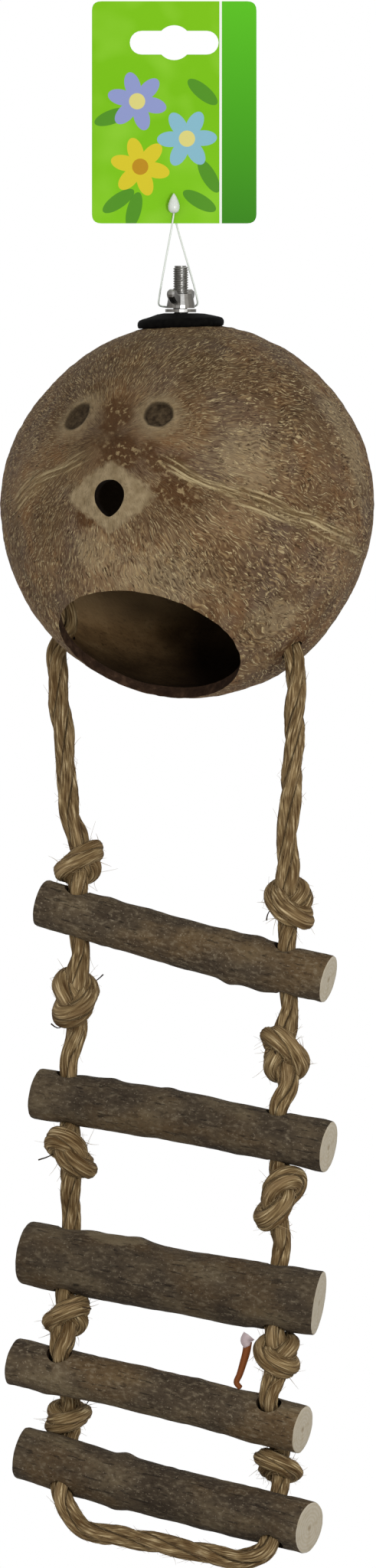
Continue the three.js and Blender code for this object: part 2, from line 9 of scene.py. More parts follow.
import bpy
import numpy as np
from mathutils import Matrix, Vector


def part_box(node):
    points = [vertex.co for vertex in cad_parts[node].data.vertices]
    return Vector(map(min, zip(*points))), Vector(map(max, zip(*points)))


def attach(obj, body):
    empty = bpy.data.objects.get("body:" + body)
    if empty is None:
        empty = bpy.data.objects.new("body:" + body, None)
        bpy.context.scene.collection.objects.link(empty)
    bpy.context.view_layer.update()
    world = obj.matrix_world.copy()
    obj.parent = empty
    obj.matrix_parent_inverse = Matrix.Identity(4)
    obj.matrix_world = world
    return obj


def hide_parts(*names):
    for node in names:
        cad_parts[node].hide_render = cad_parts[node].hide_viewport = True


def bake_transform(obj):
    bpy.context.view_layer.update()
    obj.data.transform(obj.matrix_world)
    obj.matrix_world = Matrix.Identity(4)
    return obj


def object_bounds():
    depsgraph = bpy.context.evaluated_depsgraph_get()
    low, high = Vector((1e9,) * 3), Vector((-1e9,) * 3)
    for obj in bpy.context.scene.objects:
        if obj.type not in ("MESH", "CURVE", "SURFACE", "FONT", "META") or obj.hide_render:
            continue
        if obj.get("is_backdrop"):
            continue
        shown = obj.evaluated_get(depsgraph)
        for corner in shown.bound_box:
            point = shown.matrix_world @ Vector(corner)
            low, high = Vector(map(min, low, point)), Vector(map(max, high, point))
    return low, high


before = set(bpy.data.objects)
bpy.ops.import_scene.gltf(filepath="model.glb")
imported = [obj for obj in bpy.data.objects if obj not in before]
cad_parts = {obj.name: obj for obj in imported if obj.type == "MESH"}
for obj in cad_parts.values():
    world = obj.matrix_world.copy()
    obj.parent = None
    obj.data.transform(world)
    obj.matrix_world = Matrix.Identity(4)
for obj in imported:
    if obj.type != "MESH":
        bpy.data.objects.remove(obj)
cad_low, cad_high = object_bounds()
MM = 0.001
print("CAD box in mm:", [round(v / MM, 1) for v in (*cad_low, *cad_high)])

# %% [markdown]
# ## Camera
# The photo looks level at the object from 20 degrees to the right of its front. It was taken from far
# off, with hardly any perspective. A perspective camera a long way back would do, but an orthographic one
# makes a millimetre of the object the same number of pixels everywhere, so places can be read off the
# photo.

# %% Camera
TURN = math.radians(20)
RIGHT = np.array((math.cos(TURN), math.sin(TURN), 0))
TOWARDS = np.array((math.sin(TURN), -math.cos(TURN), 0))
UP = np.array((0, 0, 1.0))
PHOTO_HIGH = 2048
PIXELS_PER_MM = 4.07
VIEW_RIGHT, VIEW_UP, VIEW_FAR = 2.33, -151.1, 1200  # mm from the washer's top to the camera

scene = bpy.context.scene
scene.view_settings.view_transform = "Standard"
camera = bpy.data.objects.new("camera", bpy.data.cameras.new("camera"))
scene.collection.objects.link(camera)
scene.camera = camera
camera.data.type = "ORTHO"
camera.data.ortho_scale = PHOTO_HIGH / PIXELS_PER_MM * MM
camera.location = Vector((RIGHT * VIEW_RIGHT + UP * VIEW_UP + TOWARDS * VIEW_FAR) * MM)
camera.rotation_mode = "QUATERNION"
camera.rotation_quaternion = Vector(-TOWARDS).to_track_quat("-Z", "Y")
print("the picture is", round(PHOTO_HIGH / PIXELS_PER_MM), "mm high")

# %% [markdown]
# ## Light
# The photo has even light from all round, as a light tent gives. A ring of lamps could do it, but a white
# world is simpler and casts no hard shadows. One lamp stands a little to the right of the camera and level
# with the entrance. It lights the left wall of the hollow and leaves the right of it black.

# %% Light
world = bpy.data.worlds.new("white room")
scene.world = world
world.use_nodes = True
world.node_tree.nodes["Background"].inputs["Color"].default_value = (1, 1, 1, 1)

key = bpy.data.objects.new("key", bpy.data.lights.new("key", "AREA"))
scene.collection.objects.link(key)
key.data.energy = 6.5
key.data.size = 0.17
key.location = Vector((TOWARDS * 1100 + RIGHT * 330 - UP * 80) * MM)
key.rotation_mode = "QUATERNION"
key.rotation_quaternion = (Vector((0, 0, -0.16)) - key.location).to_track_quat("-Z", "Y")
print("key lamp:", key.data.energy, "W,", round(key.data.size / MM), "mm wide")

# %% [markdown]
# ## Colours and nodes
# Colours are written as hex values, as they look in the photo, and `tone` turns them to linear ones.
# `add` puts one node into a tree, sets it and links it. A finish is built from films of colour: `film`
# lays one colour over another, in places that a pattern gives. Patterns are sized in real millimetres
# through `grit`.

# %% Colours and nodes
LIGHT = 1.35  # room and lamp together are this much brighter than the light on the photo's object


def tone(text):
    """The linear colour, with alpha, that looks like a hex colour of the photo under this light."""
    part = [int(text[i : i + 2], 16) / 255 for i in (1, 3, 5)]
    return (*[(c / 12.92 if c <= 0.04045 else ((c + 0.055) / 1.055) ** 2.4) / LIGHT for c in part], 1)


def grit(size_mm):
    """The scale of a noise whose lumps are that many millimetres across."""
    return 1 / (size_mm * MM)


def add(tree, kind, inputs, out=0, stops=(), **settings):
    """Adds a shader node and gives one of its outputs.

    Each input is a number, a vector, a hex colour or another node's output. Stops are a ramp's places and
    colours.
    """
    made = tree.nodes.new("ShaderNode" + kind)
    for name, value in settings.items():
        setattr(made, name, value)
    for name, value in inputs.items():
        if isinstance(value, bpy.types.NodeSocket):
            tree.links.new(value, made.inputs[name])
        else:
            made.inputs[name].default_value = tone(value) if isinstance(value, str) else value
    for _ in stops[2:]:
        made.color_ramp.elements.new(0.5)
    for (at, colour), element in zip(stops, made.color_ramp.elements if stops else ()):
        element.position = at
        element.color = tone(colour)
    return made.outputs[out]


def film(tree, under, over, where, zero=0.0, one=1.0, share=1.0, only=1.0):
    """A colour laid over another: not where a value is `zero`, by its full share where it is `one`."""
    cover = add(tree, "MapRange", {"Value": where, "From Min": zero, "From Max": one, "To Max": share})
    cover = add(tree, "Math", {0: cover, 1: only}, operation="MULTIPLY")
    return add(tree, "Mix", {0: cover, 6: under, 7: over}, out=2, data_type="RGBA")


def start(name, roughness, metallic=0.0, shine=0.1):
    """A new material, its node tree and its shader.

    Wood fibre, rubber, card and nylon have an index of refraction near 1.5, which is Blender's own. Loose
    fibres break their gloss, so most finishes here shine little.
    """
    made = bpy.data.materials.new(name)
    made.use_nodes = True
    shader = made.node_tree.nodes["Principled BSDF"]
    shader.inputs["Roughness"].default_value = roughness
    shader.inputs["Metallic"].default_value = metallic
    shader.inputs["Specular IOR Level"].default_value = shine
    return made, made.node_tree, shader


print("mid grey #808080 is", round(tone("#808080")[0], 3), "in linear light")

# %% [markdown]
# ## Coconut shell, outside: the ground
# The husk was torn off and the shell scraped, so it is dull brown wood with fibres left on it. A photo
# texture would be quick, but procedural films stay sharp and fit any view. Mesh data steer them. `grain`
# runs out from between the three eyes, as the nut's fibres do. `patch` is one where the nut is rubbed
# pale, and, as its second value, where the brown skin is left. First come the broad clouds of colour.

# %% Coconut shell, outside: the ground
# scraped coconut wood: matt, in clouds of grey-brown and red-brown a few centimetres wide
coconut, t, shader = start("coconut shell, scraped outside", 0.85)
place = add(t, "TexCoord", {}, out="Object")
drift = add(t, "TexNoise", {"Vector": place, "Scale": grit(11), "Detail": 2}, out="Color")
drift = add(t, "VectorMath", {0: drift, 1: (0.5, 0.5, 0.5)}, operation="SUBTRACT")
drift = add(t, "VectorMath", {0: drift, "Scale": 9 * MM}, operation="SCALE")
grain = add(t, "Attribute", {}, out="Vector", attribute_name="grain")
grain = add(t, "VectorMath", {0: grain, 1: drift})

cloud = add(t, "TexNoise", {"Vector": place, "Scale": grit(24), "Detail": 4})
colour = add(t, "ValToRGB", {0: cloud}, stops=[(0.3, "#513d28"), (0.5, "#664f37"), (0.68, "#7a6146")])
warm = add(t, "TexNoise", {"Vector": place, "Scale": grit(13), "Detail": 3})
colour = film(t, colour, "#744f2c", warm, 0.5, 0.68, 0.5)
elsewhere = add(t, "VectorMath", {0: place, 1: (0.3, 0.1, 0.7)})
grey = add(t, "TexNoise", {"Vector": elsewhere, "Scale": grit(18), "Detail": 3})
colour = film(t, colour, "#594a40", grey, 0.5, 0.66, 0.55)
height = add(t, "SeparateXYZ", {0: place}, out=2)
colour = film(t, colour, "#43331f", height, -60 * MM, -10 * MM, 0.3)  # painted shade: darker towards the top, where less light falls

drawn = add(t, "VectorMath", {0: grain, 1: (1, 1, 1 / 2.2)}, operation="MULTIPLY")
rag = add(t, "TexNoise", {"Vector": drawn, "Scale": grit(2.2), "Detail": 5})
rag = add(t, "MapRange", {"Value": rag, "To Min": -1.5, "To Max": 1.5})  # makes the patches' edges ragged
patch = add(t, "Attribute", {}, out="Vector", attribute_name="patch")
pale, brown, _ = add(t, "SeparateXYZ", {0: patch}).node.outputs
colour = film(t, colour, "#a59372", add(t, "Math", {0: pale, 1: rag}), 0.15, 0.95, 0.4)
colour = film(t, colour, "#4b331d", add(t, "Math", {0: brown, 1: rag}), 0.1, 0.8, 0.45)
print(coconut.name, "has", len(t.nodes), "nodes for its ground")

# %% [markdown]
# ## Coconut shell, outside: fibres
# Short fibres cover the shell and follow the grain. They could be hair curves, but they lie flat, so
# noise drawn out along the grain does. A real fibre is 0.2 mm thick. That is under a pixel, so the fibres
# are drawn two to four times as thick. Between them are dark pits, and single pale dashes and hairs.

# %% Coconut shell, outside: fibres
drawn = add(t, "VectorMath", {0: grain, 1: (1, 1, 1 / 4.5)}, operation="MULTIPLY")
fibre = add(t, "TexNoise", {"Vector": drawn, "Scale": grit(0.75), "Detail": 4})
fuller = add(t, "TexNoise", {"Vector": place, "Scale": grit(15), "Detail": 3})
fuller = add(t, "MapRange", {"Value": fuller, "From Min": 0.38, "From Max": 0.6, "To Min": 0.45})
colour = film(t, colour, "#3d2915", fibre, 0.47, 0.33, 0.8, fuller)
colour = film(t, colour, "#9c845d", fibre, 0.53, 0.67, 0.75, fuller)

drawn = add(t, "VectorMath", {0: grain, 1: (1, 1, 1 / 2.4)}, operation="MULTIPLY")
pit = add(t, "TexNoise", {"Vector": drawn, "Scale": grit(0.9), "Detail": 2})
pit = add(t, "MapRange", {"Value": pit, "From Min": 0.4, "From Max": 0.33})
dense = add(t, "TexNoise", {"Vector": place, "Scale": grit(7), "Detail": 2})
dense = add(t, "MapRange", {"Value": dense, "From Min": 0.35, "From Max": 0.6})
pit = add(t, "Math", {0: pit, 1: dense}, operation="MULTIPLY")
colour = film(t, colour, "#33200d", pit, share=0.85)

away = add(t, "SeparateXYZ", {0: grain}, out=2)
# near the eyes the fibres lose their direction
away = add(t, "MapRange", {"Value": away, "From Min": 8 * MM, "From Max": 24 * MM})
drawn = add(t, "VectorMath", {0: grain, 1: (1, 1, 1 / 5)}, operation="MULTIPLY")
dash = add(t, "TexNoise", {"Vector": drawn, "Scale": grit(0.62), "Detail": 1})
dash = add(t, "MapRange", {"Value": dash, "From Min": 0.62, "From Max": 0.68})
dash = add(t, "Math", {0: dash, 1: away}, operation="MULTIPLY")
colour = film(t, colour, "#b5a27a", dash, share=0.75)
drawn = add(t, "VectorMath", {0: grain, 1: (1, 1, 1 / 16)}, operation="MULTIPLY")
hair = add(t, "TexNoise", {"Vector": drawn, "Scale": grit(0.5), "Detail": 1})
colour = film(t, colour, "#bcab84", hair, 0.66, 0.71, 0.65, away)
print(coconut.name, "has", len(t.nodes), "nodes with its fibres")

# %% [markdown]
# ## Coconut shell, outside: eyes and sutures
# Round the open pore the skin is smooth and pale, and reddish husk is left near it. The two blind eyes
# are dark and sunk. `marks` holds how far a point is from each of these. Bundles of long fibres follow
# the nut's sutures. `seam` runs across and along them. All of it is drawn by distance, so that it stays
# in its place on the mesh.

# %% Coconut shell, outside: eyes and sutures
marks = add(t, "Attribute", {}, out="Vector", attribute_name="marks")
halo, red, eye = add(t, "SeparateXYZ", {0: marks}).node.outputs
crumb = add(t, "TexNoise", {"Vector": place, "Scale": grit(1.5), "Detail": 3})
rusty = add(t, "Math", {0: crumb, 1: 0.9, 2: red}, operation="MULTIPLY_ADD")
rusty = add(t, "MapRange", {"Value": rusty, "From Min": 1.4, "From Max": 0.95})
colour = film(t, colour, "#4a2f16", rusty, share=0.8)
colour = film(t, colour, "#a38d66", crumb, 0.56, 0.63, 0.75, rusty)

skin = add(t, "TexNoise", {"Vector": place, "Scale": grit(2.6), "Detail": 4})
skin = add(t, "ValToRGB", {0: skin}, stops=[(0.3, "#7f6d50"), (0.65, "#9c8a6b")])
ragged = add(t, "TexNoise", {"Vector": place, "Scale": grit(2), "Detail": 4})
ragged = add(t, "Math", {0: ragged, 1: 0.5, 2: halo}, operation="MULTIPLY_ADD")
colour = film(t, colour, skin, ragged, 1.4, 1.22, 0.9)
ring = add(t, "Math", {0: crumb, 1: 6 * MM, 2: eye}, operation="MULTIPLY_ADD")
colour = film(t, colour, skin, ring, 8 * MM, 4 * MM, 0.6)
blind = add(t, "ValToRGB", {0: crumb}, stops=[(0.3, "#2b2013"), (0.7, "#514330")])
colour = film(t, colour, blind, eye, 0.15 * MM, -0.5 * MM)
# painted shade: a dark line round each eye's edge, where the eye sinks
brink = add(t, "Math", {0: eye, 1: 0.1 * MM})
brink = add(t, "Math", {0: brink}, operation="ABSOLUTE")
colour = film(t, colour, "#21170c", brink, 0.8 * MM, 0.1 * MM, 0.65)

seam = add(t, "Attribute", {}, out="Vector", attribute_name="seam")
across, along, bundle = add(t, "SeparateXYZ", {0: seam}).node.outputs
along = add(t, "Math", {0: along, 1: 0.04}, operation="MULTIPLY")
lines = add(t, "CombineXYZ", {0: across, 1: along})
lines = add(t, "TexNoise", {"Vector": lines, "Scale": grit(0.9), "Detail": 3})
drawn = add(t, "VectorMath", {0: grain, 1: (1, 1, 1 / 3)}, operation="MULTIPLY")
broken = add(t, "TexNoise", {"Vector": drawn, "Scale": grit(3), "Detail": 3})
broken = add(t, "MapRange", {"Value": broken, "From Min": 0.3, "From Max": 0.5})
bundle = add(t, "Math", {0: bundle, 1: broken}, operation="MULTIPLY")
colour = film(t, colour, "#8a7751", bundle, share=0.4)
colour = film(t, colour, "#48351d", lines, 0.48, 0.38, 0.85, bundle)
colour = film(t, colour, "#bba981", lines, 0.5, 0.6, 0.9, bundle)
t.links.new(colour, shader.inputs["Base Color"])

raised = add(t, "Math", {0: dash, 1: 0.3, 2: fibre}, operation="MULTIPLY_ADD")
raised = add(t, "Math", {0: pit, 1: -0.7, 2: raised}, operation="MULTIPLY_ADD")
raised = add(t, "Math", {0: bundle, 1: lines, 2: raised}, operation="MULTIPLY_ADD")
relief = add(t, "Bump", {"Height": raised, "Distance": 0.45 * MM, "Strength": 0.8})
t.links.new(relief, shader.inputs["Normal"])
print(coconut.name, "has", len(t.nodes), "nodes in all")

# %% [markdown]
# ## Coconut shell, inside and sawn edge
# The hollow was scraped clean. It is smoother than the outside, with dark specks. In the photo its left
# wall is pale behind the top of the entrance and the rest falls to black. Light alone leaves it too
# bright, because the wall of this nut is even, so light and shade are painted into its colour: painted
# light behind the entrance's top, and painted shade on the right, at the top and at the bottom. The edge
# of the entrance is sawn: dense, dark brown wood.

# %% Coconut shell, inside and sawn edge
# scraped inside: half matt, brown, with dark specks
hollow, t, shader = start("coconut shell, inside", 0.7)
place = add(t, "TexCoord", {}, out="Object")
cloud = add(t, "TexNoise", {"Vector": place, "Scale": grit(9), "Detail": 4})
colour = add(t, "ValToRGB", {0: cloud}, stops=[(0.3, "#6b5134"), (0.55, "#886a45"), (0.75, "#9d7f58")])
specks = add(t, "TexNoise", {"Vector": place, "Scale": grit(1.2), "Detail": 3})
colour = film(t, colour, "#3b2917", specks, 0.55, 0.75, 0.6)
height = add(t, "SeparateXYZ", {0: place}, out=2)
colour = film(t, colour, "#c0a074", height, -102 * MM, -92 * MM, 0.6)  # painted light: pale behind the entrance's top
to_right = add(t, "VectorMath", {0: place, 1: tuple(RIGHT)}, out="Value", operation="DOT_PRODUCT")
colour = film(t, colour, "#1c120a", to_right, -8 * MM, 6 * MM, 0.8)  # painted shade on the right, the shadow of the entrance's rim
colour = film(t, colour, "#120b06", height, -82 * MM, -70 * MM, 0.92)  # painted shade at the top, under the entrance's lip
colour = film(t, colour, "#1c120a", height, -100 * MM, -113 * MM, 0.75)  # painted shade at the bottom
t.links.new(colour, shader.inputs["Base Color"])
scrapes = add(t, "TexNoise", {"Vector": place, "Scale": grit(1.5), "Detail": 3})
relief = add(t, "Bump", {"Height": scrapes, "Distance": 0.4 * MM, "Strength": 0.6})
t.links.new(relief, shader.inputs["Normal"])

# sawn shell: hard and dark, with the saw's marks
sawn, t, shader = start("coconut shell, sawn edge", 0.75)
place = add(t, "TexCoord", {}, out="Object")
cloud = add(t, "TexNoise", {"Vector": place, "Scale": grit(2.5), "Detail": 3})
colour = add(t, "ValToRGB", {0: cloud}, stops=[(0.3, "#281a11"), (0.55, "#38271b"), (0.75, "#513c2d")])
height = add(t, "SeparateXYZ", {0: place}, out=2)
colour = film(t, colour, "#0f0a05", height, -84 * MM, -76 * MM, 0.9)  # painted shade: black in the pore, above the entrance
t.links.new(colour, shader.inputs["Base Color"])
saw_marks = add(t, "TexNoise", {"Vector": place, "Scale": grit(0.8), "Detail": 2})
relief = add(t, "Bump", {"Height": saw_marks, "Distance": 0.3 * MM, "Strength": 0.7})
t.links.new(relief, shader.inputs["Normal"])
print("inside and edge:", len(hollow.node_tree.nodes), "and", len(sawn.node_tree.nodes), "nodes")

# %% [markdown]
# ## Rope finish
# Sisal is a stiff leaf fibre, spun into yarn and laid in three strands. `fibre` runs across and along a
# strand. Its third value is one on the outside of a strand and zero in the groove. A sisal fibre is 0.2
# mm thick. It is drawn at 0.33 mm, so that it shows in the render. Particle hair would be truer, but far
# too heavy for 1.3 m of rope.

# %% Rope finish
# laid sisal: dull tan, with pale fibres that catch the light, and painted shade in the grooves between the
# strands
rope, t, shader = start("sisal rope", 0.9)
fibre = add(t, "Attribute", {}, out="Vector", attribute_name="fibre")
across, along, crest = add(t, "SeparateXYZ", {0: fibre}).node.outputs
run = add(t, "Math", {0: along, 1: 0.06}, operation="MULTIPLY")
spun = add(t, "CombineXYZ", {0: across, 1: run})
hair = add(t, "TexNoise", {"Vector": spun, "Scale": grit(0.33), "Detail": 3})
yarn = add(t, "TexNoise", {"Vector": spun, "Scale": grit(1.1), "Detail": 2})
tans = [(0.3, "#3e2b15"), (0.44, "#695437"), (0.56, "#8a7450"), (0.7, "#cab58d")]
colour = add(t, "ValToRGB", {0: hair}, stops=tans)
colour = film(t, colour, "#4a351b", yarn, 0.5, 0.32, 0.7)
colour = film(t, colour, "#a68c66", yarn, 0.56, 0.72, 0.5)
run = add(t, "Math", {0: along, 1: 0.5}, operation="MULTIPLY")
blotch = add(t, "CombineXYZ", {0: across, 1: run})
blotch = add(t, "TexNoise", {"Vector": blotch, "Scale": grit(5), "Detail": 3})
colour = film(t, colour, "#5b4225", blotch, 0.5, 0.7, 0.5)
# painted shade in the grooves between the strands
colour = film(t, colour, "#2f2010", crest, 0.5, 0.0, 0.75)
t.links.new(colour, shader.inputs["Base Color"])
raised = add(t, "Math", {0: hair, 1: yarn})
relief = add(t, "Bump", {"Height": raised, "Distance": 0.5 * MM, "Strength": 0.9})
t.links.new(relief, shader.inputs["Normal"])

# single fibres and scraps are too small to show more than one colour
stray, _, shader = start("stray sisal fibre", 0.8)
shader.inputs["Base Color"].default_value = tone("#a38b69")
dark_hair, _, shader = start("dark root hair", 0.8)
shader.inputs["Base Color"].default_value = tone("#33261b")
flake, _, shader = start("dry pink flake", 0.8)
shader.inputs["Base Color"].default_value = tone("#c4b2b3")
strip, _, shader = start("red-brown bark strip", 0.6)
shader.inputs["Base Color"].default_value = tone("#7a4420")
print(rope.name, "has", len(t.nodes), "nodes")

# %% [markdown]
# ## Bark
# The rungs are cut from young branches with their bark on: grey-brown, mottled, with pale crusts of
# lichen and cracks along the branch. Wood textures of a library have planks' grain, which bark lacks, so
# it is mixed from noise here. `branch` runs along and around the rung. `worn` tells where the bark is
# rubbed off and how dark the whole rung is.

# %% Bark
# dry bark: matt, mottled in patches of 9 mm, crusted in grains of 1 mm
bark, t, shader = start("branch bark", 0.9)
along = add(t, "Attribute", {}, out="Vector", attribute_name="branch")
drawn = add(t, "VectorMath", {0: along, 1: (1 / 2, 1, 1)}, operation="MULTIPLY")
patch = add(t, "TexNoise", {"Vector": drawn, "Scale": grit(9), "Detail": 5})
browns = [(0.3, "#3a3025"), (0.46, "#4a3f31"), (0.57, "#594c3a"), (0.72, "#6f614a")]
colour = add(t, "ValToRGB", {0: patch}, stops=browns)
warm = add(t, "TexNoise", {"Vector": drawn, "Scale": grit(16), "Detail": 3})
colour = film(t, colour, "#5f4a2f", warm, 0.5, 0.66, 0.6)
drawn = add(t, "VectorMath", {0: along, 1: (1 / 1.8, 1, 1)}, operation="MULTIPLY")
crust = add(t, "TexNoise", {"Vector": drawn, "Scale": grit(1.1), "Detail": 5})
colour = film(t, colour, "#857862", crust, 0.53, 0.7, 0.5)
colour = film(t, colour, "#261d13", crust, 0.45, 0.3, 0.55)
lichen = add(t, "TexNoise", {"Vector": along, "Scale": grit(0.7), "Detail": 1})
colour = film(t, colour, "#948772", lichen, 0.66, 0.72, 0.5)
drawn = add(t, "VectorMath", {0: along, 1: (1 / 7, 1, 1)}, operation="MULTIPLY")
crack = add(t, "TexNoise", {"Vector": drawn, "Scale": grit(0.9), "Detail": 3})
crack = add(t, "MapRange", {"Value": crack, "From Min": 0.37, "From Max": 0.31})
colour = film(t, colour, "#1e1711", crack, share=0.6)
worn = add(t, "Attribute", {}, out="Vector", attribute_name="worn")
bare, dark, _ = add(t, "SeparateXYZ", {0: worn}).node.outputs
bare = add(t, "Math", {0: crust, 1: 0.9, 2: bare}, operation="MULTIPLY_ADD")
wood = add(t, "ValToRGB", {0: patch}, stops=[(0.3, "#6f6047"), (0.7, "#94856a")])
colour = film(t, colour, wood, bare, 0.75, 1.2, 0.8)
colour = film(t, colour, "#241f19", dark)
t.links.new(colour, shader.inputs["Base Color"])
raised = add(t, "Math", {0: crust, 1: 0.6, 2: patch}, operation="MULTIPLY_ADD")
raised = add(t, "Math", {0: crack, 1: -0.7, 2: raised}, operation="MULTIPLY_ADD")
relief = add(t, "Bump", {"Height": raised, "Distance": 0.6 * MM, "Strength": 0.8})
t.links.new(relief, shader.inputs["Normal"])
print(bark.name, "has", len(t.nodes), "nodes")

# %% [markdown]
# ## Sawn ends and drilled holes
# The ends were sawn across and have dried pale, with faint year rings about 1.3 mm apart and a small
# pith. A wave texture gives rings too, but a sine of the distance from the pith takes the wobble more
# easily. The drilled holes are seen only as dark rims.

# %% Sawn ends and drilled holes
# sawn end grain: pale and dusty
end_grain, t, shader = start("branch, sawn end", 0.85)
along = add(t, "Attribute", {}, out="Vector", attribute_name="branch")
flat = add(t, "VectorMath", {0: along, 1: (0, 1, 1)}, operation="MULTIPLY")
radius = add(t, "VectorMath", {0: flat}, out="Value", operation="LENGTH")
wobble = add(t, "TexNoise", {"Vector": flat, "Scale": grit(5), "Detail": 2})
wobble = add(t, "Math", {0: wobble, 1: 1.2 * MM, 2: radius}, operation="MULTIPLY_ADD")
year = add(t, "Math", {0: wobble, 1: 2 * math.pi / (1.3 * MM)}, operation="MULTIPLY")
year = add(t, "Math", {0: year}, operation="SINE")
colour = film(t, "#b7ae9c", "#a3957b", year, -1, 1, 0.4)
stain = add(t, "TexNoise", {"Vector": flat, "Scale": grit(2.5), "Detail": 3})
colour = film(t, colour, "#9c8d70", stain, 0.5, 0.75, 0.5)
colour = film(t, colour, "#7d6a4c", radius, 1.2 * MM, 0.4 * MM, 0.6)
t.links.new(colour, shader.inputs["Base Color"])
pores = add(t, "TexNoise", {"Vector": flat, "Scale": grit(0.6), "Detail": 2})
relief = add(t, "Bump", {"Height": pores, "Distance": 0.15 * MM, "Strength": 0.5})
t.links.new(relief, shader.inputs["Normal"])

# drilled hole: painted shade, dark brown inside the hole
drilled_wood, _, shader = start("branch, drilled hole", 0.9)
shader.inputs["Base Color"].default_value = tone("#2c2014")
print(end_grain.name, "has", len(t.nodes), "nodes")

# %% [markdown]
# ## Steel, rubber and thread
# Bolt, washers and wing nut are zinc-plated steel. Plating mirrors a room's dark and bright sides. This
# room is white all round, so that reflection is painted into the steel's colour: painted dark reflections
# on faces that look sideways, with a painted highlight between them. The washer is moulded black rubber,
# and the thread is clear nylon, drawn and stiff. Full glass would lose so thin a thread against the white,
# so it lets only a little light through.

# %% Steel, rubber and thread
# zinc-plated steel: a blurred mirror, with dull stains
steel, t, shader = start("zinc-plated steel", 0.32, 1.0, 0.5)
facing = add(t, "TexCoord", {}, out="Normal")
sideways = add(t, "VectorMath", {0: facing, 1: tuple(RIGHT)}, out="Value", operation="DOT_PRODUCT")
sideways = add(t, "MapRange", {"Value": sideways, "From Min": -1, "From Max": 1})
# painted reflection: dark on faces that look sideways, with a painted highlight band between them
reflection_greys = [(0, "#4a4641"), (0.3, "#8b8781"), (0.5, "#b6b4b0"), (0.62, "#dededc"), (0.72, "#9a968f")]
reflection_greys += [(1, "#4a463f")]
colour = add(t, "ValToRGB", {0: sideways}, stops=reflection_greys)
place = add(t, "TexCoord", {}, out="Object")
stain = add(t, "TexNoise", {"Vector": place, "Scale": grit(1.5), "Detail": 3})
colour = film(t, colour, "#6d6963", stain, 0.45, 0.7, 0.5)
t.links.new(colour, shader.inputs["Base Color"])

# moulded rubber: black, with a faint dusty bloom
rubber, t, shader = start("black rubber", 0.75, shine=0.03)
place = add(t, "TexCoord", {}, out="Object")
bloom = add(t, "TexNoise", {"Vector": place, "Scale": grit(1.5), "Detail": 3})
colour = add(t, "ValToRGB", {0: bloom}, stops=[(0.3, "#060505"), (0.7, "#100f0d")])
t.links.new(colour, shader.inputs["Base Color"])

# drawn nylon: smooth and pale, with sharp glints
nylon, _, shader = start("clear nylon thread", 0.25, shine=0.5)
shader.inputs["Base Color"].default_value = tone("#e4eae0")
shader.inputs["Transmission Weight"].default_value = 0.15
print(steel.name, "has", len(steel.node_tree.nodes), "nodes, and", rubber.name, len(rubber.node_tree.nodes))

# %% [markdown]
# ## Printed card
# The tag is coated board with a print: a lime ground, a deeper band behind a white line, and a loose
# spray of round flowers and leaves. The print could be an image, but ovals from a few nodes stay sharp at
# every size. `level` turns the card's place square to the camera, with x across and z up.

# %% Printed card
# coated board: even colour and hardly any gloss
card, t, shader = start("coated card, printed", 0.5, shine=0.05)
place = add(t, "TexCoord", {}, out="Object")
level = add(t, "VectorRotate", {"Vector": place, "Angle": -TURN}, rotation_type="Z_AXIS")
across, _, above = add(t, "SeparateXYZ", {0: level}).node.outputs
up_card = add(t, "MapRange", {"Value": above, "From Min": 28.8 * MM, "From Max": 100 * MM})


def oval(x, z, wide, high, turn=0):
    """1 inside an oval on the card, at mm from the bolt's axis and above the washer, else 0."""
    c, s = math.cos(math.radians(turn)), math.sin(math.radians(turn))
    off = add(t, "VectorMath", {0: level, 1: (x * MM, 0, z * MM)}, operation="SUBTRACT")
    one_way, other_way = (c / (wide * MM), 0, s / (wide * MM)), (-s / (high * MM), 0, c / (high * MM))
    a = add(t, "VectorMath", {0: off, 1: one_way}, out="Value", operation="DOT_PRODUCT")
    b = add(t, "VectorMath", {0: off, 1: other_way}, out="Value", operation="DOT_PRODUCT")
    far = add(t, "VectorMath", {0: add(t, "CombineXYZ", {0: a, 1: b})}, out="Value", operation="LENGTH")
    return add(t, "Math", {0: far, 1: 1.0}, operation="LESS_THAN")


colour = add(t, "ValToRGB", {0: up_card}, stops=[(0.0, "#7fc41a"), (0.5, "#77bb12"), (1.0, "#7bbf14")])
light = add(t, "TexNoise", {"Vector": level, "Scale": grit(14), "Detail": 1})
colour = film(t, colour, "#8fcc34", light, 0.48, 0.7, 0.7)
# leaves as mm across, mm up and degrees of turn, flowers as mm across, mm up, petals and heart
LEAVES = [(-20, 36, 35), (-15, 33, 75), (6, 36, -30), (9, 44, -60), (-22, 63, 20), (7, 71, -40)]
FLOWERS = [(-13, 47, "#d3c32c", "#b98a1f"), (2, 56, "#85b6c6", "#d8cf7d"), (-14, 68, "#8d97c6", "#d8cf7d")]
PETALS, PETAL_OUT = 6, 5.2
for x, z, turn in LEAVES:
    colour = film(t, colour, "#4c8a26", oval(x, z, 6, 2.3, turn), share=0.9)
for x, z, petal, heart in FLOWERS:
    for k in range(PETALS):
        turn = 360 / PETALS * k + x
        a = math.radians(turn)
        shape = oval(x + PETAL_OUT * math.cos(a), z + PETAL_OUT * math.sin(a), 4.4, 2.5, turn)
        colour = film(t, colour, petal, shape)
    colour = film(t, colour, heart, oval(x, z, 2.6, 2.6))
BAND_FROM, LINE_WIDE = 13.2, 0.8
deep = add(t, "ValToRGB", {0: up_card}, stops=[(0.0, "#3b851c"), (0.5, "#4aa31c"), (1.0, "#5abd20")])
past_line = add(t, "Math", {0: across, 1: (BAND_FROM - LINE_WIDE) * MM}, operation="GREATER_THAN")
past_band = add(t, "Math", {0: across, 1: BAND_FROM * MM}, operation="GREATER_THAN")
colour = film(t, colour, "#e9f0e4", past_line)
colour = film(t, colour, deep, past_band)
t.links.new(colour, shader.inputs["Base Color"])
print(card.name, "has", len(FLOWERS), "flowers and", len(LEAVES), "leaves in", len(t.nodes), "nodes")
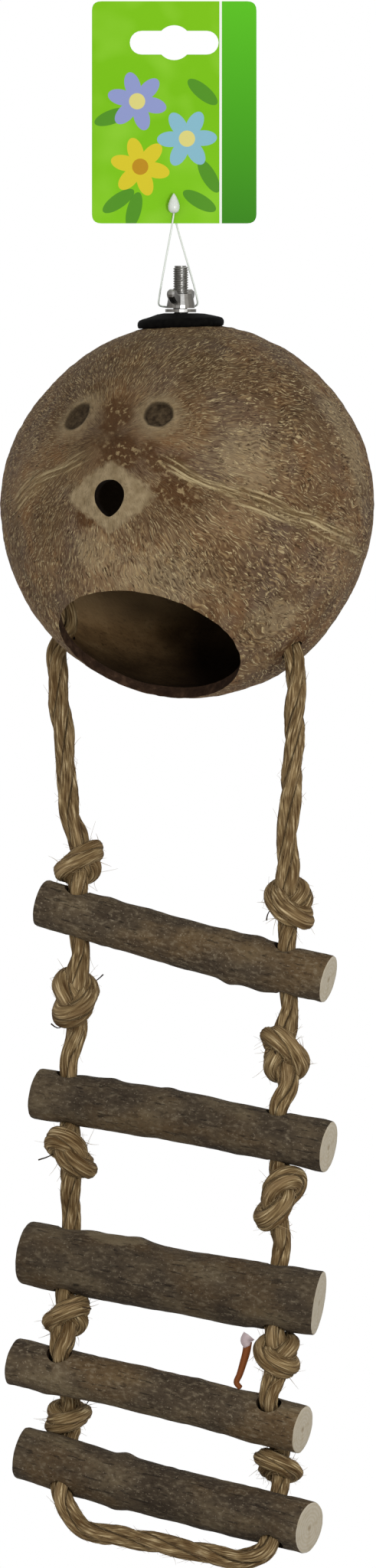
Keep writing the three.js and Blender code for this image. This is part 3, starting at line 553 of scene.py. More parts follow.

# %% [markdown]
# ## Relief from numbers
# Bark, shell and rope are uneven. A displacement modifier would do it at render time, but the meshes
# themselves need the bumps too, so `mottle` works out smooth noise at given points, from whole-number
# hashes.
# It gives the same relief in every run.


# %% Relief from numbers
def mottle(points, size, seed=0):
    """Smooth noise from -1 to 1 at points, with lumps of a size in the points' own unit."""
    q = np.asarray(points, float) / size + 1000
    cell = np.floor(q).astype(np.int64)
    f = q - cell
    f = f * f * (3 - 2 * f)
    total = np.zeros(len(q))
    for corner in np.ndindex(2, 2, 2):
        c = cell + corner
        h = c[:, 0] * 73856093 ^ c[:, 1] * 19349663 ^ c[:, 2] * 83492791 ^ (seed + 1) * 40503
        h = (h ^ (h >> 13)) * 1274126177 & 0x7FFFFFFF
        h = (h ^ (h >> 15)) & 0xFFFF
        total += (h / 32767.5 - 1) * np.prod(np.where(corner, f, 1 - f), axis=1)
    return total


def smooth(value, low, high):
    """0 at low, 1 at high, with soft ends."""
    x = np.clip((value - low) / (high - low), 0, 1)
    return x * x * (3 - 2 * x)


def unit(v):
    """Vectors of the same direction, one long."""
    v = np.asarray(v, float)
    return v / np.linalg.norm(v, axis=-1, keepdims=True)


print("noise at a point:", round(float(mottle([(1, 2, 3)], 5)[0]), 3))

# %% [markdown]
# ## Meshes from points
# Every piece is built as points and faces in millimetres. Modelling operators would need selections and
# modes. Plain lists say exactly what is made. `give` stores numbers on the points for the materials, and
# `tube_faces` joins rings to a closed tube, which serves ropes, branches, bolt and thread.


# %% Meshes from points
def mesh_of(name, points_mm, faces, materials):
    """A round-shaded object from points in mm and faces."""
    made = bpy.data.meshes.new(name)
    made.from_pydata((np.asarray(points_mm) * MM).tolist(), [], [list(map(int, f)) for f in faces])
    for m in materials:
        made.materials.append(m)
    made.shade_smooth()
    obj = bpy.data.objects.new(name, made)
    scene.collection.objects.link(obj)
    return obj


def give(obj, name, values):
    """Stores numbers or vectors on the mesh's points, for its material."""
    values = np.asarray(values, np.float32)
    kind, key = ("FLOAT_VECTOR", "vector") if values.ndim == 2 else ("FLOAT", "value")
    obj.data.attributes.new(name, kind, "POINT").data.foreach_set(key, values.ravel())


def rows_of(data, field):
    """A vector field of a mesh's points or faces, as rows."""
    flat = np.zeros(len(data) * 3, np.float32)
    data.foreach_get(field, flat)
    return flat.reshape(-1, 3).astype(float)


def paint(obj, kind):
    """Gives each face the material with its number."""
    obj.data.polygons.foreach_set("material_index", np.asarray(kind, np.int32))


def tube_faces(rings, sides):
    """Faces of a closed tube of rings, with the last two points as the ends' middles."""
    a = np.arange(rings - 1)[:, None] * sides + np.arange(sides)[None]
    b = np.arange(rings - 1)[:, None] * sides + (np.arange(sides)[None] + 1) % sides
    faces = np.stack([a, b, b + sides, a + sides], axis=2).reshape(-1, 4).tolist()
    k = np.arange(sides)
    n = (k + 1) % sides
    first, last = rings * sides, rings * sides + 1
    faces += [[first, int(j), int(i)] for i, j in zip(k, n)]
    end = (rings - 1) * sides
    faces += [[last, int(end + i), int(end + j)] for i, j in zip(k, n)]
    return faces


print("a tube of 3 rings of 8 has", len(tube_faces(3, 8)), "faces")

# %% [markdown]
# ## Cutters
# The real shell and branches were sawn and drilled. Boolean modifiers do the same to the meshes, with the
# manifold solver, which is exact and quick on closed meshes. `hole_tool` and `drill` make the cutters.

# %% Cutters
DRILL_SIDES = 40


def cut(obj, cutters):
    """Cuts solids away from obj and removes them."""
    bpy.context.view_layer.objects.active = obj
    for tool in cutters:
        step = obj.modifiers.new("cut", "BOOLEAN")
        step.operation = "DIFFERENCE"
        step.solver = "MANIFOLD"
        step.object = tool
        bpy.ops.object.modifier_apply(modifier=step.name)
        bpy.data.objects.remove(tool)


def hole_tool(name, hoop, start_mm, end_mm):
    """A straight cutter with a hoop of points as its section."""
    ends = np.array([start_mm, end_mm], float)
    points = np.concatenate([ends[0] + hoop, ends[1] + hoop, ends])
    return mesh_of(name, points, tube_faces(2, len(hoop)), [])


def drill(name, r, start_mm, end_mm):
    """A round cutter between two points."""
    axis = unit(np.subtract(end_mm, start_mm))
    side = unit(np.cross(axis, (0.3, 0.5, 0.8)))
    a = np.linspace(0, 2 * math.pi, DRILL_SIDES, endpoint=False)[:, None]
    return hole_tool(name, r * (np.cos(a) * side + np.sin(a) * np.cross(axis, side)), start_mm, end_mm)


print("a drill has", DRILL_SIDES, "sides")

# %% [markdown]
# ## Sizes of the ladder
# The same numbers as in the CAD part, in millimetres and degrees: the egg of the shell, the rope, the
# rungs with their slopes, and the knots. They could be measured from the frame's solids, but a knot's box
# doesn't tell how the rope runs in it, so both scripts share the numbers.

# %% Sizes of the ladder
SHELL_R, SHELL_UP, SHELL_DOWN, WALL = 60, 58, 62.2, 3.3
MIDDLE = np.array((2.1, 0.7, -61.3))
ROPE_HOLE = {"left": (-42.6, -0.9), "right": (38.6, -8)}
ROPE_HOLE_DROP = 0.8  # how much the holes lean down
ROPE_D = 6.4
ROPE_WIDE = 7.0  # with its loose outer fibres
ROPE_SNUG = 6.2  # pressed thinner in a rung's hole and where a rung can slide
ROPE_BULGE = 0.62  # how far the rope stands out of its hole before it falls, in thicknesses
ROPE_SWAY = {"left": -3, "right": 0}  # sideways bend above the first knot
KNOT_D = 0.79 * ROPE_D  # pulled thinner in a knot
LADDER_Y = -7.3
HOLE_SPACING = 71.5
PAST_HOLE = 14.75  # from a hole to the rung's end
RUNG_L = HOLE_SPACING + 2 * PAST_HOLE
RUNG_D = (15, 16.2, 21, 15.6, 17.2)
RUNG_X = (4.2, 3.4, 0.1, -5, -2.4)
RUNG_Z = [-201.6 - down for down in (0, 57.5, 107.9, 145.8, 176.1)]
SLOPE = np.radians((14, 9.8, 9.25, 12.4, 13.9))  # down to the right
ROLL = np.radians((6, 4, -13, 36, -26))  # the holes' lean to the front or back
HOLE_X = {"left": (-32.4, -35.3, -35.8, -37.1, -36.6)}
HOLE_X["right"] = tuple(x + HOLE_SPACING for x in HOLE_X["left"])
# heights of the knots, and their gaps to the first rung or to the rung above them
KNOT_H = {"left": (14, 19, 16, 12.5, 10.6), "right": (16.4, 18.2, 20, 14.6, 10.8)}
KNOT_GAP = {"left": (1.3, 10, 1.2, 1.6, 1.2), "right": (5, 11, 1.4, 1.2, 1.2)}
KNOT_Y = (0, 0, 0.5, -3.4, 6)  # places towards the back
KNOT_BEND = (1, 0.98, 1.02, 1, 1.04)  # widths, as shares of the tight knot's
# the rope's width where it leaves the knot
KNOT_TAIL = {"left": (7, 7, 7, 9.6, 8), "right": (7, 7, 7, 7.6, 7)}
LEAN = [np.array((0, -math.sin(a), math.cos(a))) for a in ROLL]
INSIDE = [d / 2 / math.cos(a) for d, a in zip(RUNG_D, SLOPE)]
# straight rope above and under a rung, for the rung to slide along
SLIDE_UP = {"left": (0, 5.5, 5, 0, 0), "right": (0, 2, 5, 0, 0)}
SLIDE_DOWN = (6.5, 0, 0, 0, 0)
SIDES = ("left", "right")
STEP = 0.7  # mm between two rings of a rope
print("five rungs from", max(RUNG_Z), "to", round(min(RUNG_Z), 1), "mm")

# %% [markdown]
# ## Lines in space
# A rope is a line with a thickness. Curve objects could carry it, but knots need to know how far along
# the line a point is. `through` runs a smooth spline through points and gives even steps along it.


# %% Lines in space
def rung_axis(i, x):
    """The point of a rung's middle line at x."""
    return np.array((x, LADDER_Y, RUNG_Z[i] - (x - RUNG_X[i]) * math.tan(SLOPE[i])))


def run_along(points):
    """How far along a line each of its points is."""
    return np.concatenate([[0], np.cumsum(np.linalg.norm(np.diff(points, axis=0), axis=1))])


def even(points, count):
    """That many points at even steps along a line."""
    run = run_along(points)
    want = np.linspace(0, run[-1], count)
    return np.stack([np.interp(want, run, points[:, k]) for k in range(points.shape[1])], axis=1)


def through(points, step):
    """A smooth line through points, at even steps, and the number of the point each step is at."""
    p = np.asarray(points, float)
    p = np.concatenate([[2 * p[0] - p[1]], p, [2 * p[-1] - p[-2]]])
    knot = np.concatenate([[0], np.cumsum(np.linalg.norm(np.diff(p, axis=0), axis=1) ** 0.5)])
    line, number = [p[1]], [0.0]
    for i in range(1, len(p) - 2):
        t0, t1, t2, t3 = knot[i - 1 : i + 3]
        u = np.linspace(t1, t2, 9)[1:, None]
        a1 = ((t1 - u) * p[i - 1] + (u - t0) * p[i]) / (t1 - t0)
        a2 = ((t2 - u) * p[i] + (u - t1) * p[i + 1]) / (t2 - t1)
        a3 = ((t3 - u) * p[i + 1] + (u - t2) * p[i + 2]) / (t3 - t2)
        b1 = ((t2 - u) * a1 + (u - t0) * a2) / (t2 - t0)
        b2 = ((t3 - u) * a2 + (u - t1) * a3) / (t3 - t1)
        line += list(((t2 - u) * b1 + (u - t1) * b2) / (t2 - t1))
        number += list(i - 1 + np.linspace(0, 1, 9)[1:])
    line = np.array(line)
    run = run_along(line)
    made = even(line, max(3, round(run[-1] / step) + 1))
    return made, np.interp(np.linspace(0, run[-1], len(made)), run, number)


print("a rung's hole is", round(2 * INSIDE[0], 1), "mm long in the first rung")

# %% [markdown]
# ## An overhand knot
# Each knot on the ladder is an overhand knot pulled tight. Drawing its line by hand gives strands that
# pass through each other. Here it is tied loose from two windings and an arc, then pulled tight: the line
# is smoothed again and again while strands that are too near push each other apart.

# %% An overhand knot
# the loose knot's windings and arc, in thicknesses of the rope
WIND_R, WIND_HIGH, ARC_R = 0.8, 1.9, 2.6
TOUCH = 1.14  # strands nearer than this push each other apart
BESIDE = 1.7  # points nearer than this along the rope don't


def overhand(d, count=72, rounds=500):
    """The middle line of a tight overhand knot in rope of thickness d, from top to bottom."""
    a = np.linspace(0, 3 * math.pi, 25)
    b = math.pi * (np.arange(1, 16) / 16 - 0.5)

    def wind(turn):
        """One and a half windings on the way down."""
        down = WIND_HIGH * (1 - np.arange(25) / 12)
        return np.stack([WIND_R * np.cos(turn + a), WIND_R * np.sin(turn + a), down], axis=1)

    arc = np.stack([-WIND_R - ARC_R * np.cos(b), 0 * b, ARC_R * np.sin(b)], axis=1)
    top, bottom = [(0, 0, 2.8), (0, 0, 2.3)], [(0, 0, -2.3), (0, 0, -2.8)]
    line = even(np.concatenate([top, wind(0), arc, wind(math.pi), bottom]), count + 1)
    index = np.arange(count + 1)
    for r in range(rounds):
        end = 1.75 + max(0, 1 - r / (0.3 * rounds))  # the ends come in during the first rounds
        line[0], line[1], line[-1] = (0, 0, end), (0, 0, end - 0.02), (0, 0, -end)
        line[1:-1] += 0.5 * ((line[:-2] + line[2:]) / 2 - line[1:-1])
        far = np.abs(index[:, None] - index) >= math.ceil(BESIDE * count / run_along(line)[-1])
        for _ in range(6):
            away = line[:, None] - line
            near = np.linalg.norm(away, axis=2) + 1e-9
            push = np.where(far & (near < TOUCH), (TOUCH - near) / (2 * near), 0)
            hits = np.maximum(1, (push > 0).sum(1))
            line = line + 1.3 * (push[:, :, None] * away).sum(1) / hits[:, None]
        line = even(line, count + 1)
    return line * d


TIGHT = overhand(KNOT_D)
CREST = np.abs(TIGHT[8:-8, 2]).max()
print("a tight knot takes", round(run_along(TIGHT)[-1]), "mm of rope")

# %% [markdown]
# ## Knots in their places
# The photo shows ten knots of different heights, the first pair above the first rung and the others under
# a rung. Ten knots could be tied one by one. Stretching and turning the tight one is quicker, and no two
# look alike.

# %% Knots in their places
KNOT_SPREAD = 1.72  # bent fibres spread, so the rope looks wider than the knot's line needs


def knot_points(hand, k):
    """A knot's line in its place, and how thick the rope looks in it."""
    i = max(0, k - 1)
    h = KNOT_H[hand][k]
    edge = math.sqrt((RUNG_D[i] / 2) ** 2 - (KNOT_Y[k] / 2) ** 2) / math.cos(SLOPE[i])
    drop = (1 if k == 0 else -1) * (edge + KNOT_GAP[hand][k] + h / 2)
    at = rung_axis(i, HOLE_X[hand][i]) + (0, KNOT_Y[k], drop)
    thick = KNOT_D * min(0.94, 0.5 + 0.44 * h / (3.3 * KNOT_D))  # a low knot is pulled tighter
    mirror = 1 if hand == "left" else -1
    wide = 0.74 * KNOT_BEND[k]  # the thicker rope of a tight knot lies closer to its middle
    line = TIGHT * (wide * mirror, wide, (h - thick * 1.3) / 2 / CREST)
    turn = math.radians(70 + 115 * k + (0 if hand == "left" else 160))  # no two knots look alike
    c, s = math.cos(turn), math.sin(turn)
    line = line @ np.array(((c, s, 0), (-s, c, 0), (0, 0, 1)))
    line[0, 2], line[-1, 2] = h / 2 + 0.4, -h / 2 - 0.4
    return np.delete(line, 1, axis=0) + at, thick * KNOT_SPREAD


print("the first knot on the left has", len(knot_points("left", 0)[0]), "points")

# %% [markdown]
# ## The rope's way
# One rope runs down each side: out of the shell's hole, through knot and rung in turn. `side_line` joins
# knots and holes to one line. The rope is kept straight where a rung can slide, and a last smoothing takes
# out kinks, because sisal is stiff.


# %% The rope's way
def shell_hole(hand):
    """Where the rope leaves the shell, and the way out."""
    x, y = ROPE_HOLE[hand]
    at = np.array((x, y, -SHELL_DOWN * math.sqrt(1 - (x * x + y * y) / SHELL_R**2)))
    return at + MIDDLE, unit(unit(at) - (0, 0, ROPE_HOLE_DROP))


def side_line(hand):
    """One side's line, the rope's width and share of knot along it, and where it passes the rungs."""
    hole, out = shell_hole(hand)
    leave = hole + out * ROPE_D * ROPE_BULGE
    knots = [knot_points(hand, k) for k in range(5)]
    top = knots[0][0][0]
    drop = top[2] - leave[2]
    points = [
        hole - out * (WALL / 2 - 0.3),
        hole,
        leave,
        leave - (0, 0, ROPE_D),
        (leave[0] * 0.6 + top[0] * 0.4, (leave[1] + top[1]) / 2, leave[2] + drop * 0.5),
        (top[0] + ROPE_SWAY[hand], top[1], leave[2] + drop * 0.85),
    ]
    width, tied = [ROPE_WIDE] * len(points), [0.0] * len(points)
    passes = [0]
    for k, (line, thick) in enumerate(knots):
        points += list(line)
        width += [thick] * (len(line) - 3) + [KNOT_TAIL[hand][k]] * 3
        tied += [0.0] + [1.0] * (len(line) - 2) + [0.3]
        c = rung_axis(k, HOLE_X[hand][k])
        if SLIDE_UP[hand][k]:
            points.append(c + LEAN[k] * (INSIDE[k] + SLIDE_UP[hand][k]))
        points += [c + LEAN[k] * min(INSIDE[k], line[-1][2] - c[2] - 1), c]
        passes.append(len(points) - 1)
        if k < 4:
            points.append(c - LEAN[k] * min(INSIDE[k], c[2] - knots[k + 1][0][0][2] - 1))
        if SLIDE_DOWN[k]:
            points.append(c - LEAN[k] * (INSIDE[k] + SLIDE_DOWN[k]))
        width += [ROPE_SNUG] * (len(points) - len(width))
        tied += [0.0] * (len(points) - len(tied))
    line, number = through(points, STEP)
    blur = np.ones(9) / 9
    width = np.convolve(np.pad(np.interp(number, range(len(points)), width), 4, "edge"), blur, "valid")
    tied = np.convolve(np.pad(np.interp(number, range(len(points)), tied), 4, "edge"), blur, "valid")
    ends = np.pad(line, ((3, 3), (0, 0)), "reflect", reflect_type="odd")
    line = sum(ends[i : i + len(line)] for i in range(7)) / 7  # stiff rope has no kinks
    return line, width, tied, [int(np.abs(number - n).argmin()) for n in passes]


print("a side has", len(side_line("left")[0]), "steps of", STEP, "mm")

# %% [markdown]
# ## Laid rope
# Three strands are twisted together, with a full turn in 55 mm, rising to the right as in the photo.
# Three separate tubes would hide most of their faces in each other, so one tube has a section of three
# lobes with grooves between them, pressed flatter inside the knots. Noise along the strands makes them
# uneven.

# %% Laid rope
LAY = 55.0  # mm to a full turn of the strands
RING = 48  # points round the rope
AROUND = np.linspace(0, 2 * math.pi, RING, endpoint=False)
LOBE_AT = (AROUND + math.pi / 3) % (2 * math.pi / 3) - math.pi / 3
STRAND_OUT, STRAND_R = 0.46, 0.56  # a strand's place and radius, as shares of half the rope's width
LOBES = STRAND_OUT * np.cos(LOBE_AT) + np.sqrt(STRAND_R**2 - (STRAND_OUT * np.sin(LOBE_AT)) ** 2)
STRAND = np.round((AROUND - LOBE_AT) / (2 * math.pi / 3)) % 3


def carried(line):
    """Tangents along a line, and two side directions that follow it without twisting."""
    ahead = unit(np.gradient(line, axis=0))
    side = [unit(np.cross(ahead[0], (0.2, 1, 0.1)))]
    for now in ahead[1:]:
        side.append(unit(side[-1] - now * np.dot(side[-1], now)))
    side = np.array(side)
    return ahead, side, np.cross(ahead, side)


def rope_piece(name, line, width, tied, seed):
    """A stretch of three-strand rope, and its stray fibres."""
    ahead, side, other = carried(line)
    rings = len(line)
    run = np.arange(rings) * STEP
    loose = 0.35 * mottle(np.stack([run, 0 * run, 0 * run], axis=1), 16, seed)
    turn = (2 * math.pi * run / LAY + loose)[:, None] + AROUND
    out = np.cos(turn)[..., None] * side[:, None] + np.sin(turn)[..., None] * other[:, None]

    def on_strands(across, along, size, more):
        """Noise that follows each strand."""
        at = np.broadcast_arrays(LOBE_AT * across + STRAND * 50, run[:, None] * along, 0.0)
        return mottle(np.stack(at, axis=2).reshape(-1, 3), size, seed + more).reshape(turn.shape)

    lobes = LOBES + 0.45 * tied[:, None] * (LOBES.mean() + 0.06 - LOBES)
    swell = 1 + 0.1 * on_strands(0, 1, 9, 0)
    rough = 0.05 * on_strands(6, 0.3, 1.6, 1) + 0.035 * on_strands(12, 0.5, 1.6, 2)
    points = line[:, None] + out * (width[:, None] / 2 * (lobes * swell + rough))[..., None]
    flat = np.concatenate([points.reshape(-1, 3), line[:1], line[-1:]])
    obj = mesh_of(name, flat, tube_faces(rings, RING), [rope])
    # one on a strand's outside and zero in its groove, where the shade is painted
    crest = np.clip((LOBES - 0.62) / 0.34, 0, 1) ** 0.7
    # fibres run along the rope, not along its strands
    across = LOBE_AT * 2.2 + STRAND * 30 + run[:, None] * 0.2
    place = np.broadcast_arrays(across * MM, (run[:, None] + 40 * seed) * MM, crest + 0.3 * tied[:, None])
    give(obj, "fibre", np.concatenate([np.stack(place, axis=2).reshape(-1, 3), np.zeros((2, 3))]))
    return obj, fuzz_on(name + "_fuzz", points, out, ahead, tied, width > ROPE_SNUG + 0.1, seed)


print("the section has", RING, "points, and its grooves reach in to", round(LOBES.min(), 2))

# %% [markdown]
# ## Stray fibres
# Sisal sheds short fibres, most of all where a knot bends it, and some dark root hairs stay in it. Hair
# curves are not meshes, so each fibre is a thin three-sided spike. The seed makes every run the same.

# %% Stray fibres
STRAYS = 1.3  # fibres to each step of free rope


def hairs(name, rows, materials):
    """Thin three-sided hairs: each row is a line, its thickness at root and tip, and its material."""
    points, faces, kinds = [], [], []
    for line, root, tip, kind in rows:
        ahead, side, other = carried(line)
        n = len(line)
        base = len(points)
        thick = np.linspace(root, tip, n)[:, None]
        for k in range(3):
            a = 2 * math.pi * k / 3
            points += list(line + (math.cos(a) * side + math.sin(a) * other) * thick / 2)
        for j in range(n - 1):
            for k in range(3):
                p, q = base + k * n + j, base + (k + 1) % 3 * n + j
                faces.append((p, q, q + 1, p + 1))
        faces += [(base, base + 2 * n, base + n), (base + n - 1, base + 2 * n - 1, base + 3 * n - 1)]
        kinds += [kind] * (3 * n - 1)
    obj = mesh_of(name, points, faces, materials)
    paint(obj, kinds)
    return obj


def fuzz_on(name, points, out, ahead, tied, free, seed):
    """Stray fibres along the rope that stand off at their ends, and two dark root hairs in a knot."""
    rng = np.random.default_rng(seed)
    rows = []
    u = np.linspace(0, 1, 5)[:, None]
    free = np.flatnonzero(free[6:-6]) + 6
    for _ in range(int(len(free) * STRAYS)):
        i, k = rng.choice(free), rng.integers(RING)
        long = rng.uniform(1, 3.6)
        way = ahead[i] * rng.choice((-1, 1)) + rng.normal(0, 0.25, 3)
        lift = out[i, k] * rng.uniform(0.1, 0.45)
        bend = rng.normal(0, 0.2, 3)
        hair = points[i, k] - out[i, k] * 0.1 + long * (way * u + lift * u**1.6 + bend * u**2)
        rows.append((hair, rng.uniform(0.1, 0.18), 0.05, 0))
    in_knot = np.flatnonzero(tied > 0.6)
    for _ in range(len(in_knot)):
        i, k = rng.choice(in_knot), rng.integers(RING)
        way = ahead[i] * rng.choice((-1, 1)) + rng.normal(0, 0.5, 3)
        frayed = way * u + out[i, k] * rng.uniform(0.15, 0.8) * u**1.4 + rng.normal(0, 0.3, 3) * u**2
        hair = points[i, k] - out[i, k] * 0.15 + rng.uniform(1.2, 3.6) * frayed
        rows.append((hair, rng.uniform(0.14, 0.3), 0.06, 0))
    for _ in range(2 if len(in_knot) else 0):
        i, k = rng.choice(in_knot), rng.integers(RING)
        hair = points[i, k] - out[i, k] * 0.3 + 3.4 * (out[i, k] * u + rng.normal(0, 0.5, 3) * u**2)
        rows.append((hair, 0.3, 0.6, 1))
    return hairs(name, rows, [stray, dark_hair])


print("stray fibres:", STRAYS, "to a step of rope")

# %% [markdown]
# ## Ropes at the sides
# The line of each side is cut into five cords inside the rungs' holes, where no seam shows. One long mesh
# couldn't follow five joints.

# %% Ropes at the sides
# heights in mm of the ladder's folds, at each joint from the top
FOLDS = {
    "left": [(-108, -116.5), (-232.5, -242), (-281, -291), (-328.6, -332.6), (-358.8, -362.6)],
    "right": [(-111, -120), (-249, -256), (-296.5, -303.5), (-342.6, -347.6), (-375, -379)],
}


def declare(nodes):
    """Hides the CAD nodes that a rope stands for."""
    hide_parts(*nodes)


for hand in SIDES:
    line, width, tied, stops = side_line(hand)
    for k in range(5):
        span = slice(stops[k], stops[k + 1] + 1)
        stretch = line[span]
        seed = 10 * k + (5 if hand == "right" else 0) + 3
        cord, fuzz = rope_piece(f"{hand}_cord_{k + 1}", stretch, width[span], tied[span], seed)
        high, low = FOLDS[hand][k]
        middle = stretch[np.abs(stretch[:, 2] - (high + low) / 2).argmin()]
        for piece in (cord, fuzz):
            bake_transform(piece)
        declare([f"{hand}_rope_{k + 1}", f"{hand}_knot_{k + 1}"])

# %% [markdown]
# ## Loop at the bottom
# Under the last rung the rope runs across in a slack loop, lower on the right, and closes. Its points
# follow the photo. It hangs from the last rung alone, so it rides with that rung's body and needs no
# bend.

# %% Loop at the bottom
left, right = (rung_axis(4, HOLE_X[hand][4]) for hand in SIDES)
down_left, down_right = (c - LEAN[4] * INSIDE[4] for c in (left, right))
low = down_right[2] - ROPE_D / 2 - 0.3
front = down_right[1] - 0.6
SAG = 13.5  # mm under a straight line


def run_of(u, sag):
    """A point that share of the way across, hanging so far under the straight line."""
    return np.array((left[0] + (right[0] - left[0]) * u, front, left[2] + (low - left[2]) * u - sag))


loop_points = [
    left,
    down_left,
    down_left + (1.4, -0.8, -ROPE_D * 0.9),
    run_of(0.12, SAG * 1.3),
    run_of(0.36, SAG),
    run_of(0.62, SAG * 0.7),
    (right[0] - ROPE_D * 2.2, front, low - 0.9),
    (right[0] - ROPE_D * 0.85, front - 0.4, low - 0.5),
    (right[0] - ROPE_D * 0.2, front - 0.2, low + ROPE_D * 0.2),
    down_right + LEAN[4] * 0.9,
    right,
]


def plain_cord(name, points, wide, body, node):
    """A cord without knots that rides with one body."""
    line = through(points, STEP)[0]
    cord, fuzz = rope_piece(name, line, np.full(len(line), wide), np.zeros(len(line)), 71)
    for piece in (cord, fuzz):
        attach(piece, body)
    declare([node])


plain_cord("bottom_cord", loop_points, ROPE_WIDE, "ladder_last", "bottom_loop")

# %% [markdown]
# ## Rope inside the nut
# The photo doesn't show how the rope holds inside. The likely way is up from one hole, round behind the
# bolt above its washer, and down to the other hole. It is built as one cord and shows only as a pale
# strip in the left corner of the entrance.

# %% Rope inside the nut
ROPE_OFF = 6.15  # mm behind the bolt's axis
NUT_TOP = -3.3  # mm, under the rubber washer
rope_top = NUT_TOP - WALL - (ROPE_OFF + ROPE_D / 2) ** 2 / SHELL_UP - ROPE_D / 2 - 0.3


def inner_half(hand):
    """Points from one of the shell's holes up to beside the bolt."""
    hole, out = shell_hole(hand)
    s = np.sign(out[0])
    beside, across = np.array(ROPE_HOLE[hand]) / SHELL_R

    def way_up(u, x, y):
        """A point that share of the way up, at shares of the shell's radius to the side and back."""
        rise = hole[2] + (rope_top - hole[2]) * u
        return np.array((MIDDLE[0] + s * SHELL_R * x, MIDDLE[1] + SHELL_R * y, rise))

    return [
        hole - out * WALL / 2,
        hole - out * (WALL + ROPE_D * 0.46),
        way_up(0.24, abs(beside) + 0.04, across - 0.05),
        way_up(0.5, abs(beside) - 0.02, across / 2),
        way_up(0.77, 0.45, 0),
        np.array((s * 13.9, ROPE_OFF * 0.9, rope_top - ROPE_D * 0.45)),
        np.array((s * ROPE_D * 0.8, ROPE_OFF, rope_top)),
    ]


inner_points = [*inner_half("left"), (0, ROPE_OFF, rope_top), *inner_half("right")[::-1]]
plain_cord("inner_cord", inner_points, ROPE_D, "house", "inner_rope")

# %% [markdown]
# ## Coconut shell: form
# The nut is an egg, a little longer below its middle. Blender's UV sphere crowds its points at the poles,
# so the mesh starts from a cube's six faces blown up to a ball, which spreads them evenly. `seen` finds
# the point of the nut's front at a place in the photo.


# %% Coconut shell: form
def round_grid(n):
    """Directions evenly over a sphere, from a cube's six faces, and their quads."""
    w = np.tan(np.linspace(-1, 1, n + 1) * math.pi / 4)
    u, v = np.meshgrid(w, w, indexing="ij")
    one = np.ones_like(u)
    sides = [(one, u, v), (-one, v, u), (v, one, u), (u, -one, v), (u, v, one), (v, u, -one)]
    points = np.concatenate([np.stack(s, axis=2).reshape(-1, 3) for s in sides])
    i, j = np.meshgrid(np.arange(n), np.arange(n), indexing="ij")
    a = (i * (n + 1) + j).ravel()
    quad = np.stack([a, a + n + 1, a + n + 2, a + 1], axis=1)
    quads = np.concatenate([quad + k * (n + 1) ** 2 for k in range(6)])
    first, back = np.unique(np.round(points, 6), axis=0, return_index=True, return_inverse=True)[1:]
    return unit(points[first]), back.ravel()[quads]


def egg(directions, less=0.0):
    """Points of the nut's rounded form about its middle, that much inside its outer face."""
    tall = np.where(directions[:, 2] > 0, SHELL_UP, SHELL_DOWN) - less
    wide = np.full(len(directions), SHELL_R - less)
    return directions * np.stack([wide, wide, tall], axis=1)


def on_shell(v):
    """The point of the shell's outside in a direction from its middle."""
    d = unit(v)
    h = SHELL_UP if d[2] > 0 else SHELL_DOWN
    return d / np.linalg.norm(d / (SHELL_R, SHELL_R, h))


def seen(right, up):
    """The point of the nut's front that the photo shows so many mm right of and above the nut's middle."""
    h = SHELL_UP if up > 0 else SHELL_DOWN
    depth = SHELL_R * math.sqrt(max(0, 1 - (right / SHELL_R) ** 2 - (up / h) ** 2))
    return RIGHT * right + TOWARDS * depth + UP * up


print("the nut is", 2 * SHELL_R, "mm wide and", SHELL_UP + SHELL_DOWN, "mm high")

# %% [markdown]
# ## Coconut shell: places of its marks
# The eyes, the pore, the sutures and the patches, read from the photo in mm right of and above the nut's
# middle. They could be painted by hand on the mesh. As numbers they can be checked against the photo and
# moved.

# %% Coconut shell: places of its marks
# each blind eye's middle, its radius in mm and how much taller than wide it is
EYES = [(on_shell((-20.3, -48.3, 28.3)), 4.0, 1.25), (on_shell((8.7, -51.2, 29)), 4.6, 1.0)]
PORE = on_shell((-4.9, -59.7, 2.7))
POLE = unit((-0.11, -0.925, 0.36))  # between the eyes and the pore, where the nut's fibres start
ENTRANCE_TURN, ENTRANCE_DOWN = math.radians(5), math.radians(57)
ENTRANCE = np.array((-math.sin(ENTRANCE_TURN), -math.cos(ENTRANCE_TURN), -math.tan(ENTRANCE_DOWN)))
ENTRANCE = unit(ENTRANCE)
ENTRANCE_R, PORE_R = 30, 5.2
# fibre bundles as places along them, mm wide and strength
SEAMS = [
    ([(-9.6, 14.5), (6.6, 7.2), (35.3, -3.4), (53, -10)], 3.0, 1.0),
    ([(13.3, 2.6), (30, -4.5), (56.4, -16)], 2.2, 0.8),
    ([(-31.4, 15.2), (-45, 8.6), (-55.1, 0)], 4.6, 0.7),
]
# patches as right, up, half width and half height in mm
PALES = [(-9.8, -25, 17, 14), (18.4, 14.2, 12, 12), (51.6, 21.6, 9, 22), (29.5, -37, 10, 7)]
PALES += [(-29.5, -15, 8, 8)]
BROWNS = [(27.5, 38.8, 13, 9), (39.3, 0.7, 14, 11), (15, -17, 9, 9), (5, -36, 6, 7), (-40.5, 29, 9, 6)]
BROWNS += [(-6, 30, 8, 7)]
REDS = [(-20.9, 17.2, 14, 7), (-3.2, 4.4, 9, 12), (-31.9, -3.4, 7, 5), (-7.4, 13, 11, 5), (-23.3, 29, 7, 9)]
print(len(EYES), "eyes,", len(SEAMS), "fibre bundles,", len(PALES + BROWNS + REDS), "patches")

# %% [markdown]
# ## Coconut shell: distances to its marks
# The relief and the finish both need to know where the marks are. These functions measure how far points
# of the shell are from the pore, the patches and the eyes. Noise on the distances gives ragged edges, as
# husk leaves them.


# %% Coconut shell: distances to its marks
def frame_at(p):
    """Sideways and upward directions on the shell at a point of its front."""
    out = unit(p)
    side = unit(np.cross(UP, out))
    return side, np.cross(out, side)


